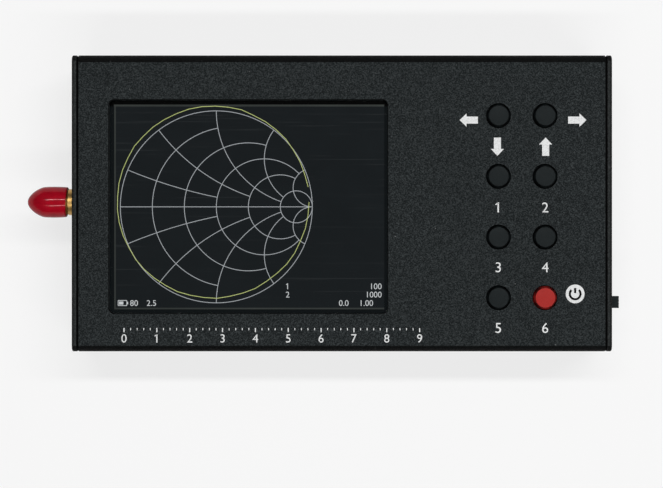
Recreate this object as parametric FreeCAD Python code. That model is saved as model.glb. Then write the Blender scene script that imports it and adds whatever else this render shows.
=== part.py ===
import FreeCAD, Part
import math
import os

# Handheld antenna analyzer, lying on its back, in millimetres.
# X runs to the right along the case, Y to its top edge, Z out of its front face.
# The origin is the centre of the rear face.

V = FreeCAD.Vector
X_AXIS = V(1, 0, 0)
Z_AXIS = V(0, 0, 1)

# Case: two extruded halves closed by two end plates
CASE_LENGTH = 130.0
CASE_WIDTH = 71.4
CASE_DEPTH = 25.4
CORNER_RADIUS = 1.6
FACE_WALL = 2.0
SIDE_WALL = 1.8
PLATE_THICKNESS = 1.5
PLATE_EDGE_BREAK = 0.2
SEAM_WIDTH = 0.45
SEAM_DEPTH = 0.6
TUBE_EDGE_BREAK = 0.15
WINDOW_EDGE_BREAK = 0.15
PARTING_GROOVE = 0.3

# Lip that locks the two halves along each side
LIP_THICKNESS = 0.85
LIP_HEIGHT = 1.4
LIP_CLEARANCE = 0.05
LIP_END_CLEARANCE = 0.2

# Screw channels in the four corners, and the screws that they take
CHANNEL_SET_IN = 0.6
CHANNEL_WALL = 1.05
CHANNEL_SLOT = 1.2
SCREW_DIAMETER = 3.0
SCREW_LENGTH = 8.0
SCREW_HEAD_DIAMETER = 5.5
SCREW_CLEARANCE = 0.05

# Rails that hold the board along each side
RAIL_THICKNESS = 1.2
RAIL_REACH = 2.6
RAIL_CLEARANCE = 0.1
BOARD_SIDE_CLEARANCE = 0.2

# Display, its window and the layers under it
ACTIVE_LENGTH = 64.8
ACTIVE_HEIGHT = 48.6
WINDOW_MARGIN_X = 1.12
WINDOW_MARGIN_Y = 1.4
WINDOW_RADIUS = 1.3
WINDOW_FROM_LEFT = 8.95
WINDOW_CENTRE_Y = -0.8
ACTIVE_SHIFT_X = 0.4
PANEL_MARGIN_LEFT = 4.1
PANEL_MARGIN_RIGHT = 8.8
PANEL_MARGIN_Y = 3.2
GASKET_CORNER = 0.6
CELL_INSET = 0.9
TOUCH_INSET = 0.3
GASKET_THICKNESS = 0.5
GASKET_WIDTH = 1.5
GASKET_SET_BACK = 0.15
TOUCH_THICKNESS = 1.1
CELL_THICKNESS = 1.3
BACKLIGHT_THICKNESS = 1.7
TAPE_THICKNESS = 0.3
TAPE_INSET = 2.0
TAPE_WIDTH = 6.0

# Flat cable from the display to its socket on the board
FLEX_WIDTH = 20.0
FLEX_THICKNESS = 0.2
FLEX_RUN = 5.5
FLEX_LEDGE = 1.5
FLEX_SOCKET_LENGTH = 4.2
FLEX_SOCKET_HEIGHT = 2.0
FLEX_SOCKET_WALL = 1.2
FLEX_CLEARANCE = 0.05

# Main board
BOARD_THICKNESS = 1.6
BOARD_END_CLEARANCE = 0.3

# Keys: two columns of four, each a cap on the plunger of a small switch
KEY_ROWS = 4
KEY_ROW_PITCH = 14.6
KEY_COLUMN_PITCH = 11.2
KEY_TOP_ROW_Y = 21.07
KEY_COLUMN_FROM_RIGHT = 16.15
KEY_HOLE_DIAMETER = 6.05
KEY_GAP = 0.28
KEY_PROUD = 1.0
KEY_EDGE_BREAK = 0.45
KEY_FLANGE_OVERLAP = 0.55
KEY_FLANGE_THICKNESS = 0.7
KEY_FLANGE_CLEARANCE = 0.2
KEY_SOCKET_ROOF = 2.2
KEY_TRAVEL = 0.3
SWITCH_SIZE = 6.0
SWITCH_HEIGHT = 3.2
SWITCH_COVER_THICKNESS = 0.3
PLUNGER_DIAMETER = 3.5
PLUNGER_CLEARANCE = 0.05
PLUNGER_INSERTION = 1.3

# Slide switch in the right-hand end plate
SLIDE_TRAVEL = 2.0
SLIDE_REST_Y = -23.9
SLIDE_KNOB_LENGTH = 2.9
SLIDE_KNOB_HEIGHT = 1.5
SLIDE_KNOB_PROUD = 2.3
SLIDE_KNOB_ROUND = 0.25
SLIDE_CAN_HEIGHT = 3.5
SLIDE_CAN_DEPTH = 3.9
SLIDE_CAN_WALL = 0.5
SLIDE_BLOCK_OVERHANG = 1.0
SLIDE_CLEARANCE = 0.1
SLIDE_SLOT_CLEARANCE = 0.25

# Charging port in the right-hand end plate
PORT_CENTRE_Y = 0.0
PORT_WIDTH = 8.94
PORT_HEIGHT = 3.26
PORT_DEPTH = 7.35
PORT_WALL = 0.3
PORT_RADIUS = 1.4
PORT_INTO_PLATE = 0.9
PORT_CLEARANCE = 0.15
TONGUE_WIDTH = 6.7
TONGUE_THICKNESS = 0.7
TONGUE_ROUND = 0.2
TONGUE_SET_BACK = 1.0

# Threaded radio socket in the left-hand end plate, and its dust cap
SOCKET_Y = 0.4
BARREL_DIAMETER = 6.35
BARREL_LENGTH = 9.4
BARREL_CHAMFER = 0.35
BARREL_HOLE_CLEARANCE = 0.12
BARREL_MOUTH_DIAMETER = 4.6
BARREL_MOUTH_DEPTH = 1.9
FLANGE_MARGIN = 0.15
FLANGE_THICKNESS = 1.8
FLANGE_END_CLEARANCE = 0.1
LEG_SIZE = 1.0
LEG_LENGTH = 2.5
INSULATOR_DIAMETER = 4.1
INSULATOR_RECESS = 0.1
CONTACT_DIAMETER = 1.27
CONTACT_BORE = 0.95
CONTACT_BORE_DEPTH = 2.6
CONTACT_SLOT = 0.2
CONTACT_TAIL_DIAMETER = 0.8
CONTACT_TAIL_LENGTH = 2.2
CAP_WALL = 0.56
CAP_LENGTH = 9.65
CAP_GAP_TO_PLATE = 1.9
CAP_NOSE_LENGTH = 4.1
CAP_CLEARANCE = 0.05
CAP_RIM_ROUND = 0.25

# Two places on the curve of the cap's nose: shares of the nose's length and of the cap's radius
NOSE_LOWER_HEIGHT = 0.45
NOSE_LOWER_RADIUS = 0.82
NOSE_UPPER_HEIGHT = 0.76
NOSE_UPPER_RADIUS = 0.50

# Screening can over the radio circuit, and the larger chips
SHIELD_LENGTH = 40.0
SHIELD_WIDTH = 26.0
SHIELD_FROM_LEFT = 12.0
SHIELD_HEIGHT = 2.4
SHIELD_WALL = 0.4
SHIELD_LID_THICKNESS = 0.3
SHIELD_LID_SKIRT = 1.2
CHIP_HEIGHT = 1.2
RADIO_CHIPS = 4
RADIO_CHIP_SIZE = 4.5
RADIO_CHIP_PITCH = 8.0
PROCESSOR_SIZE = 10.0
PROCESSOR_Y = 18.0
CHARGER_SIZE = 5.0
CHARGER_Y = -4.0
CHIPS_FROM_SHIELD = 16.0

# Battery on the rear half, with its lead, plug and header
BATTERY_LENGTH = 72.0
BATTERY_WIDTH = 50.0
BATTERY_THICKNESS = 8.0
BATTERY_ROUND = 2.2
BATTERY_SHIFT_X = -6.0
BATTERY_TAPE_THICKNESS = 0.3
BATTERY_TAPE_WIDTH = 12.0
LEAD_DIAMETER = 1.3
LEAD_PITCH = 2.0
LEAD_STRAIGHT = 5.0
LEAD_BEND_RADIUS = 4.0
LEAD_RISE = 0.8
HEADER_LENGTH = 4.8
HEADER_WIDTH = 7.9
HEADER_HEIGHT = 4.0
HEADER_WALL = 0.8
PLUG_CLEARANCE = 0.05

# Length by which a cutting tool runs past the face that it cuts
PAST = 1.0

# Lengths closer than this count as the same
SAME = 1e-6

# Thin strip that a chamfer leaves, so that it doesn't use a whole face up
STRIP = 0.001

# Least share of an edge's direction that runs along an axis, for the edge to be rounded
ALONG = 0.99

# Places that follow from the sizes above
LEFT_END = -CASE_LENGTH / 2
RIGHT_END = CASE_LENGTH / 2
TUBE_LEFT = LEFT_END + PLATE_THICKNESS
TUBE_RIGHT = RIGHT_END - PLATE_THICKNESS
HALF_WIDTH = CASE_WIDTH / 2
INNER_HALF_WIDTH = HALF_WIDTH - SIDE_WALL
PARTING_Z = CASE_DEPTH / 2
FRONT_INNER_Z = CASE_DEPTH - FACE_WALL
TOUCH_TOP = FRONT_INNER_Z - GASKET_THICKNESS
CELL_TOP = TOUCH_TOP - TOUCH_THICKNESS
BACKLIGHT_TOP = CELL_TOP - CELL_THICKNESS
TAPE_TOP = BACKLIGHT_TOP - BACKLIGHT_THICKNESS
BOARD_FRONT = TAPE_TOP - TAPE_THICKNESS
BOARD_BACK = BOARD_FRONT - BOARD_THICKNESS
BOARD_LEFT = TUBE_LEFT + FLANGE_END_CLEARANCE + FLANGE_THICKNESS
BOARD_RIGHT = TUBE_RIGHT - BOARD_END_CLEARANCE
BOARD_HALF_WIDTH = INNER_HALF_WIDTH - BOARD_SIDE_CLEARANCE
SCREW_HOLE_RADIUS = SCREW_DIAMETER / 2 + SCREW_CLEARANCE
CHANNEL_RADIUS = SCREW_HOLE_RADIUS + CHANNEL_WALL
CHANNEL_FROM_SIDE = SIDE_WALL + SCREW_HOLE_RADIUS + CHANNEL_SET_IN
CHANNEL_Y = HALF_WIDTH - CHANNEL_FROM_SIDE
CHANNEL_FROM_FACE = CASE_DEPTH - BOARD_FRONT - RAIL_CLEARANCE - CHANNEL_RADIUS
WINDOW_LENGTH = ACTIVE_LENGTH + 2 * WINDOW_MARGIN_X
WINDOW_HEIGHT = ACTIVE_HEIGHT + 2 * WINDOW_MARGIN_Y
WINDOW_CENTRE_X = LEFT_END + WINDOW_FROM_LEFT + WINDOW_LENGTH / 2
ACTIVE_CENTRE_X = WINDOW_CENTRE_X + ACTIVE_SHIFT_X
PANEL_LEFT = ACTIVE_CENTRE_X - ACTIVE_LENGTH / 2 - PANEL_MARGIN_LEFT
PANEL_RIGHT = ACTIVE_CENTRE_X + ACTIVE_LENGTH / 2 + PANEL_MARGIN_RIGHT
PANEL_BOTTOM = WINDOW_CENTRE_Y - ACTIVE_HEIGHT / 2 - PANEL_MARGIN_Y
PANEL_TOP = WINDOW_CENTRE_Y + ACTIVE_HEIGHT / 2 + PANEL_MARGIN_Y
KEY_RIGHT_X = RIGHT_END - KEY_COLUMN_FROM_RIGHT
KEY_LEFT_X = KEY_RIGHT_X - KEY_COLUMN_PITCH
KEY_HOLE_RADIUS = KEY_HOLE_DIAMETER / 2
KEY_RADIUS = KEY_HOLE_RADIUS - KEY_GAP
KEY_TOP = CASE_DEPTH + KEY_PROUD
KEY_FLANGE_TOP = FRONT_INNER_Z - KEY_FLANGE_CLEARANCE
KEY_FLANGE_BOTTOM = KEY_FLANGE_TOP - KEY_FLANGE_THICKNESS
KEY_SOCKET_TOP = KEY_TOP - KEY_SOCKET_ROOF
SWITCH_TOP = BOARD_FRONT + SWITCH_HEIGHT
PLUNGER_RADIUS = PLUNGER_DIAMETER / 2
PLUNGER_HOLE_RADIUS = PLUNGER_RADIUS + PLUNGER_CLEARANCE
PLUNGER_BOTTOM = SWITCH_TOP - PLUNGER_INSERTION
SLIDE_CENTRE_Y = SLIDE_REST_Y + SLIDE_TRAVEL / 2
SLIDE_CENTRE_Z = BOARD_FRONT + SLIDE_CAN_HEIGHT / 2
PORT_CENTRE_Z = BOARD_FRONT + PORT_HEIGHT / 2
SOCKET_Z = BOARD_FRONT + CONTACT_TAIL_DIAMETER / 2
BARREL_RADIUS = BARREL_DIAMETER / 2
FLANGE_HALF = BARREL_RADIUS + FLANGE_MARGIN
CAP_BORE_RADIUS = BARREL_RADIUS + CAP_CLEARANCE
CAP_RADIUS = CAP_BORE_RADIUS + CAP_WALL
FLANGE_FRONT = TUBE_LEFT + FLANGE_END_CLEARANCE
BARREL_END = FLANGE_FRONT - BARREL_LENGTH
CAP_RIM = LEFT_END - CAP_GAP_TO_PLATE
BATTERY_BOTTOM = FACE_WALL + BATTERY_TAPE_THICKNESS
BATTERY_RIGHT = BATTERY_SHIFT_X + BATTERY_LENGTH / 2


def slab(x0, x1, y0, y1, z0, z1):
    """A plain block between the given limits."""
    return Part.makeBox(x1 - x0, y1 - y0, z1 - z0, V(x0, y0, z0))


def round_edges(solid, axis, radius):
    """Round the edges of a block that run along one axis."""
    edges = []
    for edge in solid.Edges:
        if abs(edge.tangentAt(edge.FirstParameter).dot(axis)) > ALONG:
            edges.append(edge)
    return solid.makeFillet(radius, edges)


def flat_panel(x0, x1, y0, y1, z0, z1, radius):
    """A flat panel with rounded corners, seen from the front."""
    return round_edges(slab(x0, x1, y0, y1, z0, z1), Z_AXIS, radius)


def rod(x, y, z0, z1, radius):
    """A round bar along Z."""
    return Part.makeCylinder(radius, z1 - z0, V(x, y, z0), Z_AXIS)


def long_rod(x0, x1, y, z, radius):
    """A round bar along X."""
    return Part.makeCylinder(radius, x1 - x0, V(x0, y, z), X_AXIS)


def turned(points, base, axis):
    """A solid of revolution. Each point is (distance along the axis, radius)."""
    wire = Part.makePolygon([V(r, 0, h) for h, r in points] + [V(points[0][1], 0, points[0][0])])
    solid = Part.Face(wire).revolve(V(0, 0, 0), Z_AXIS, 360)
    solid.Placement = FreeCAD.Placement(base, FreeCAD.Rotation(Z_AXIS, axis))
    return solid


def swept(profile, path):
    """A section carried along a path."""
    return path.makePipeShell([profile], True, False)


def s_bend(y, start, end):
    """A path of two equal tangent arcs in a plane of constant Y, level at both ends."""
    run = end[0] - start[0]
    rise = end[1] - start[1]
    middle = V(start[0] + run / 2, y, start[1] + rise / 2)
    turn = 2 * math.atan2(abs(rise), run)
    radius = run / (2 * math.sin(turn))
    up = math.copysign(1.0, rise)
    half = turn / 2
    first = V(start[0] + radius * math.sin(half), y, start[1] + up * radius * (1 - math.cos(half)))
    last = V(end[0] - radius * math.sin(half), y, end[1] - up * radius * (1 - math.cos(half)))
    head = V(start[0], y, start[1])
    tail = V(end[0], y, end[1])
    return [Part.Arc(head, first, middle).toShape(), Part.Arc(middle, last, tail).toShape()]


def case_bar(x0, x1, edge_break):
    """The full outer section of the case between two places, with its end edges broken."""
    bar = round_edges(slab(x0, x1, -HALF_WIDTH, HALF_WIDTH, 0, CASE_DEPTH), X_AXIS, CORNER_RADIUS)
    ends = []
    for edge in bar.Edges:
        if edge.BoundBox.XLength < SAME:
            ends.append(edge)
    return bar.makeChamfer(edge_break, ends)


def screw_channel(y, z, toward_face):
    """A corner channel for an end screw, filled out to the corner of the case."""
    out_y = math.copysign(1.0, y)
    side = y + out_y * (CHANNEL_FROM_SIDE - SIDE_WALL / 2)
    face = z + toward_face * (CHANNEL_FROM_FACE - FACE_WALL / 2)
    corner = slab(TUBE_LEFT, TUBE_RIGHT, min(y, side), max(y, side), min(z, face), max(z, face))
    side_web = slab(TUBE_LEFT, TUBE_RIGHT, min(y, side), max(y, side), z - CHANNEL_SLOT, z + CHANNEL_SLOT)
    channel = long_rod(TUBE_LEFT, TUBE_RIGHT, y, z, CHANNEL_RADIUS)
    return channel.fuse([corner, side_web])


def channel_bore(y, z):
    """The hole of a corner channel and the slot that opens it to the inside."""
    bore = long_rod(TUBE_LEFT - PAST, TUBE_RIGHT + PAST, y, z, SCREW_HOLE_RADIUS)
    inward = y - math.copysign(CHANNEL_RADIUS + PAST, y)
    slot = slab(TUBE_LEFT - PAST, TUBE_RIGHT + PAST, min(y, inward), max(y, inward),
                z - CHANNEL_SLOT / 2, z + CHANNEL_SLOT / 2)
    return bore.fuse(slot)


def extruded_half(z0, z1, channel_z, toward_face):
    """One half of the case tube, with its two screw channels."""
    bar = case_bar(TUBE_LEFT, TUBE_RIGHT, TUBE_EDGE_BREAK)
    half = bar.common(slab(TUBE_LEFT - PAST, TUBE_RIGHT + PAST, -CASE_WIDTH, CASE_WIDTH, z0, z1))
    inside = slab(TUBE_LEFT - PAST, TUBE_RIGHT + PAST, -INNER_HALF_WIDTH, INNER_HALF_WIDTH,
                  FACE_WALL, FRONT_INNER_Z)
    half = half.cut(inside)
    channels = [screw_channel(side * CHANNEL_Y, channel_z, toward_face) for side in (-1, 1)]
    bores = [channel_bore(side * CHANNEL_Y, channel_z) for side in (-1, 1)]
    return half.fuse(channels).cut(bores)


def parting_grooves():
    """The fine V-shaped groove along each side where the two halves meet."""
    grooves = []
    for side in (-1, 1):
        outer = side * (HALF_WIDTH + PARTING_GROOVE)
        tip = side * (HALF_WIDTH - PARTING_GROOVE)
        corners = [V(TUBE_LEFT - PAST, outer, PARTING_Z - 2 * PARTING_GROOVE),
                   V(TUBE_LEFT - PAST, tip, PARTING_Z),
                   V(TUBE_LEFT - PAST, outer, PARTING_Z + 2 * PARTING_GROOVE)]
        face = Part.Face(Part.makePolygon(corners + [corners[0]]))
        grooves.append(face.extrude(X_AXIS * (TUBE_RIGHT - TUBE_LEFT + 2 * PAST)))
    return grooves


def key_places():
    """The name and centre of each key, in rows from the top left."""
    names = ["key_left", "key_right", "key_1", "key_2", "key_3", "key_4", "key_5", "key_power"]
    places = []
    for row in range(KEY_ROWS):
        for column_x in (KEY_LEFT_X, KEY_RIGHT_X):
            places.append((names[len(places)], column_x, KEY_TOP_ROW_Y - row * KEY_ROW_PITCH))
    return places


def window_cutter():
    """The tool that cuts the display window, flared at the front face."""
    half_x = WINDOW_LENGTH / 2
    half_y = WINDOW_HEIGHT / 2
    cutter = flat_panel(WINDOW_CENTRE_X - half_x, WINDOW_CENTRE_X + half_x,
                        WINDOW_CENTRE_Y - half_y, WINDOW_CENTRE_Y + half_y,
                        FRONT_INNER_Z - PAST, CASE_DEPTH + PAST, WINDOW_RADIUS)
    flare = WINDOW_EDGE_BREAK + PAST
    mouth = flat_panel(WINDOW_CENTRE_X - half_x - flare, WINDOW_CENTRE_X + half_x + flare,
                       WINDOW_CENTRE_Y - half_y - flare, WINDOW_CENTRE_Y + half_y + flare,
                       CASE_DEPTH - WINDOW_EDGE_BREAK, CASE_DEPTH + PAST, WINDOW_RADIUS + flare)
    low_edges = []
    for edge in mouth.Edges:
        if edge.BoundBox.ZMax < CASE_DEPTH - WINDOW_EDGE_BREAK + SAME:
            low_edges.append(edge)
    return cutter.fuse(mouth.makeChamfer(flare - STRIP, low_edges))


def front_shell():
    """The front half: window, key holes, board rails and the outer lip."""
    half = extruded_half(PARTING_Z, CASE_DEPTH, CASE_DEPTH - CHANNEL_FROM_FACE, 1)
    rails = []
    cuts = parting_grooves() + [window_cutter()]
    for side in (-1, 1):
        wall = side * (INNER_HALF_WIDTH + SIDE_WALL / 2)
        reach = side * (INNER_HALF_WIDTH - RAIL_REACH)
        lower = BOARD_BACK - RAIL_CLEARANCE
        upper = BOARD_FRONT + RAIL_CLEARANCE
        for z0, z1 in ((lower - RAIL_THICKNESS, lower), (upper, upper + RAIL_THICKNESS)):
            rails.append(slab(TUBE_LEFT, TUBE_RIGHT, min(wall, reach), max(wall, reach), z0, z1))
        inner = side * (INNER_HALF_WIDTH - PAST)
        groove = side * (INNER_HALF_WIDTH + LIP_THICKNESS + LIP_CLEARANCE)
        cuts.append(slab(TUBE_LEFT - PAST, TUBE_RIGHT + PAST, min(inner, groove), max(inner, groove),
                         PARTING_Z - PAST, PARTING_Z + LIP_HEIGHT + LIP_END_CLEARANCE))
        cuts.append(channel_bore(side * CHANNEL_Y, CASE_DEPTH - CHANNEL_FROM_FACE))
    for name, x, y in key_places():
        cuts.append(rod(x, y, FRONT_INNER_Z - PAST, CASE_DEPTH + PAST, KEY_HOLE_RADIUS))
    return half.fuse(rails).cut(cuts).removeSplitter()


def rear_shell():
    """The rear half, with the inner lip that stands up behind the front half's lip."""
    half = extruded_half(0, PARTING_Z, CHANNEL_FROM_FACE, -1)
    lips = []
    for side in (-1, 1):
        inner = side * INNER_HALF_WIDTH
        outer = side * (INNER_HALF_WIDTH + LIP_THICKNESS)
        lips.append(slab(TUBE_LEFT, TUBE_RIGHT, min(inner, outer), max(inner, outer),
                         PARTING_Z - LIP_HEIGHT, PARTING_Z + LIP_HEIGHT))
    return half.fuse(lips).cut(parting_grooves()).removeSplitter()


def plate_screw_places():
    """The four corners of an end plate where its screws go."""
    places = []
    for y in (-CHANNEL_Y, CHANNEL_Y):
        for z in (CHANNEL_FROM_FACE, CASE_DEPTH - CHANNEL_FROM_FACE):
            places.append((y, z))
    return places


def screw_profile(grow):
    """The turned outline of a countersunk screw, from its head's face, grown for its hole."""
    head = SCREW_HEAD_DIAMETER / 2 + grow
    shank = SCREW_DIAMETER / 2 + grow
    return [(0, 0), (0, head), (head - shank, shank), (SCREW_LENGTH, shank), (SCREW_LENGTH, 0)]


def end_screws(end, inward):
    """The four screws of one end plate, as one group."""
    screws = []
    for y, z in plate_screw_places():
        screws.append(turned(screw_profile(0), V(end, y, z), X_AXIS * inward))
    return Part.makeCompound(screws)


def seam_band(x0, x1):
    """The ring of metal that leaves a dark seam round the case between a plate and the tube."""
    ring = slab(x0, x1, -CASE_WIDTH, CASE_WIDTH, -PAST, CASE_DEPTH + PAST)
    kept = slab(x0, x1, SEAM_DEPTH - HALF_WIDTH, HALF_WIDTH - SEAM_DEPTH,
                SEAM_DEPTH, CASE_DEPTH - SEAM_DEPTH)
    return ring.cut(round_edges(kept, X_AXIS, CORNER_RADIUS - SEAM_DEPTH))


def end_plate(end, inward):
    """A blank end plate with a step at its inner edge and four countersunk screw holes."""
    inner = end + inward * PLATE_THICKNESS
    step = inner - inward * SEAM_WIDTH
    beyond = inner + inward * PAST
    plate = case_bar(min(end, inner), max(end, inner), PLATE_EDGE_BREAK)
    plate = plate.cut(seam_band(min(step, beyond), max(step, beyond)))
    sinks = []
    for y, z in plate_screw_places():
        sinks.append(turned(screw_profile(SCREW_CLEARANCE), V(end, y, z), X_AXIS * inward))
    return plate.cut(sinks)


def left_end_plate():
    """The end plate with the round hole for the radio socket."""
    hole = long_rod(LEFT_END - PAST, TUBE_LEFT + PAST, SOCKET_Y, SOCKET_Z,
                    BARREL_RADIUS + BARREL_HOLE_CLEARANCE)
    return end_plate(LEFT_END, 1).cut(hole)


def right_end_plate():
    """The end plate with the charging port's cut-out and the slide switch's slot."""
    half_y = PORT_WIDTH / 2 + PORT_CLEARANCE
    half_z = PORT_HEIGHT / 2 + PORT_CLEARANCE
    port = round_edges(slab(TUBE_RIGHT - PAST, RIGHT_END + PAST,
                            PORT_CENTRE_Y - half_y, PORT_CENTRE_Y + half_y,
                            PORT_CENTRE_Z - half_z, PORT_CENTRE_Z + half_z),
                       X_AXIS, PORT_RADIUS + PORT_CLEARANCE)
    half_slot = (SLIDE_KNOB_LENGTH + SLIDE_TRAVEL) / 2 + SLIDE_SLOT_CLEARANCE
    half_high = SLIDE_KNOB_HEIGHT / 2 + SLIDE_SLOT_CLEARANCE
    slot = slab(TUBE_RIGHT - PAST, RIGHT_END + PAST,
                SLIDE_CENTRE_Y - half_slot, SLIDE_CENTRE_Y + half_slot,
                SLIDE_CENTRE_Z - half_high, SLIDE_CENTRE_Z + half_high)
    return end_plate(RIGHT_END, -1).cut([port, slot])


def display_gasket():
    """The foam frame between the front wall and the touch panel."""
    inner_x = WINDOW_LENGTH / 2 + GASKET_SET_BACK
    inner_y = WINDOW_HEIGHT / 2 + GASKET_SET_BACK
    outer_x = inner_x + GASKET_WIDTH
    outer_y = inner_y + GASKET_WIDTH
    frame = flat_panel(WINDOW_CENTRE_X - outer_x, WINDOW_CENTRE_X + outer_x,
                       WINDOW_CENTRE_Y - outer_y, WINDOW_CENTRE_Y + outer_y,
                       TOUCH_TOP, FRONT_INNER_Z, GASKET_CORNER)
    hole = flat_panel(WINDOW_CENTRE_X - inner_x, WINDOW_CENTRE_X + inner_x,
                      WINDOW_CENTRE_Y - inner_y, WINDOW_CENTRE_Y + inner_y,
                      TOUCH_TOP - PAST, FRONT_INNER_Z + PAST, WINDOW_RADIUS)
    return frame.cut(hole)


def panel_layer(z0, z1, inset):
    """One layer of the display, set in from the panel's outline."""
    return slab(PANEL_LEFT + inset, PANEL_RIGHT - inset, PANEL_BOTTOM + inset,
                PANEL_TOP - inset, z0, z1)


def display_tape():
    """Two strips of foam tape that hold the display to the board."""
    strips = []
    for x0 in (PANEL_LEFT + TAPE_INSET, PANEL_RIGHT - TAPE_INSET - TAPE_WIDTH):
        strips.append(slab(x0, x0 + TAPE_WIDTH, PANEL_BOTTOM + TAPE_INSET, PANEL_TOP - TAPE_INSET,
                           BOARD_FRONT, TAPE_TOP))
    return Part.makeCompound(strips)


def flex_socket_z():
    """The height of the flat cable's middle where it enters its socket."""
    return BOARD_FRONT + FLEX_SOCKET_HEIGHT / 2


def display_flex():
    """The flat cable from the display's edge down into its socket."""
    start_z = BACKLIGHT_TOP - FLEX_THICKNESS / 2
    start_x = PANEL_RIGHT
    end_x = start_x + FLEX_RUN
    bend_end = (end_x - FLEX_LEDGE, flex_socket_z())
    edges = s_bend(WINDOW_CENTRE_Y, (start_x, start_z), bend_end)
    plug_in = V(end_x + FLEX_LEDGE, WINDOW_CENTRE_Y, flex_socket_z())
    edges.append(Part.LineSegment(V(bend_end[0], WINDOW_CENTRE_Y, bend_end[1]), plug_in).toShape())
    half = FLEX_WIDTH / 2
    section = Part.makePolygon([V(start_x, WINDOW_CENTRE_Y + y, start_z + z) for y, z in (
        (-half, -FLEX_THICKNESS / 2), (half, -FLEX_THICKNESS / 2),
        (half, FLEX_THICKNESS / 2), (-half, FLEX_THICKNESS / 2), (-half, -FLEX_THICKNESS / 2))])
    return swept(section, Part.Wire(edges))


def flex_socket():
    """The socket on the board that the flat cable plugs into."""
    x0 = PANEL_RIGHT + FLEX_RUN
    half = FLEX_WIDTH / 2 + FLEX_SOCKET_WALL
    block = slab(x0, x0 + FLEX_SOCKET_LENGTH, WINDOW_CENTRE_Y - half, WINDOW_CENTRE_Y + half,
                 BOARD_FRONT, BOARD_FRONT + FLEX_SOCKET_HEIGHT)
    slot_half = FLEX_WIDTH / 2 + FLEX_CLEARANCE
    slot_high = FLEX_THICKNESS / 2 + FLEX_CLEARANCE
    slot = slab(x0 - PAST, x0 + FLEX_LEDGE + FLEX_CLEARANCE,
                WINDOW_CENTRE_Y - slot_half, WINDOW_CENTRE_Y + slot_half,
                flex_socket_z() - slot_high, flex_socket_z() + slot_high)
    return block.cut(slot)


def main_board():
    """The circuit board that carries everything inside."""
    return slab(BOARD_LEFT, BOARD_RIGHT, -BOARD_HALF_WIDTH, BOARD_HALF_WIDTH, BOARD_BACK, BOARD_FRONT)


def key_switch_base(x, y):
    """The moulded base of one key switch, with the well that its plunger works in."""
    half = SWITCH_SIZE / 2
    top = SWITCH_TOP - SWITCH_COVER_THICKNESS
    block = slab(x - half, x + half, y - half, y + half, BOARD_FRONT, top)
    well_bottom = PLUNGER_BOTTOM - 2 * KEY_TRAVEL
    return block.cut(rod(x, y, well_bottom, top + PAST, PLUNGER_HOLE_RADIUS))


def key_switch_cover(x, y):
    """The sheet-metal cover of one key switch."""
    half = SWITCH_SIZE / 2
    cover = slab(x - half, x + half, y - half, y + half, SWITCH_TOP - SWITCH_COVER_THICKNESS, SWITCH_TOP)
    return cover.cut(rod(x, y, SWITCH_TOP - PAST, SWITCH_TOP + PAST, PLUNGER_HOLE_RADIUS))


def key_cap(x, y):
    """A key cap: a round button with a flange behind the front wall and a socket below."""
    flange = KEY_HOLE_RADIUS + KEY_FLANGE_OVERLAP
    socket = PLUNGER_RADIUS + PLUNGER_CLEARANCE
    outline = [(KEY_SOCKET_TOP, 0), (KEY_SOCKET_TOP, socket), (KEY_FLANGE_BOTTOM, socket),
               (KEY_FLANGE_BOTTOM, flange), (KEY_FLANGE_TOP, flange), (KEY_FLANGE_TOP, KEY_RADIUS),
               (KEY_TOP - KEY_EDGE_BREAK, KEY_RADIUS), (KEY_TOP, KEY_RADIUS - KEY_EDGE_BREAK), (KEY_TOP, 0)]
    return turned(outline, V(x, y, 0), Z_AXIS)


def key_plunger(x, y):
    """The plunger of one key switch, which stands up into the cap's socket."""
    return rod(x, y, PLUNGER_BOTTOM, KEY_SOCKET_TOP, PLUNGER_RADIUS)


def slide_switch_can():
    """The housing of the slide switch, open towards the end plate."""
    back = BOARD_RIGHT - SLIDE_CAN_DEPTH
    block_half = (SLIDE_KNOB_LENGTH + 2 * SLIDE_BLOCK_OVERHANG) / 2
    inner_half = block_half + SLIDE_TRAVEL / 2 + SLIDE_CLEARANCE
    outer_half = inner_half + SLIDE_CAN_WALL
    top = BOARD_FRONT + SLIDE_CAN_HEIGHT
    can = slab(back, BOARD_RIGHT, SLIDE_CENTRE_Y - outer_half, SLIDE_CENTRE_Y + outer_half,
               BOARD_FRONT, top)
    room = slab(back + SLIDE_CAN_WALL, BOARD_RIGHT - SLIDE_CAN_WALL,
                SLIDE_CENTRE_Y - inner_half, SLIDE_CENTRE_Y + inner_half,
                BOARD_FRONT + SLIDE_CAN_WALL, top - SLIDE_CAN_WALL)
    slot_half = (SLIDE_KNOB_LENGTH + SLIDE_TRAVEL) / 2 + SLIDE_CLEARANCE
    slot_high = SLIDE_KNOB_HEIGHT / 2 + SLIDE_CLEARANCE
    slot = slab(BOARD_RIGHT - SLIDE_CAN_WALL - PAST, BOARD_RIGHT + PAST,
                SLIDE_CENTRE_Y - slot_half, SLIDE_CENTRE_Y + slot_half,
                SLIDE_CENTRE_Z - slot_high, SLIDE_CENTRE_Z + slot_high)
    return can.cut([room, slot])


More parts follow.
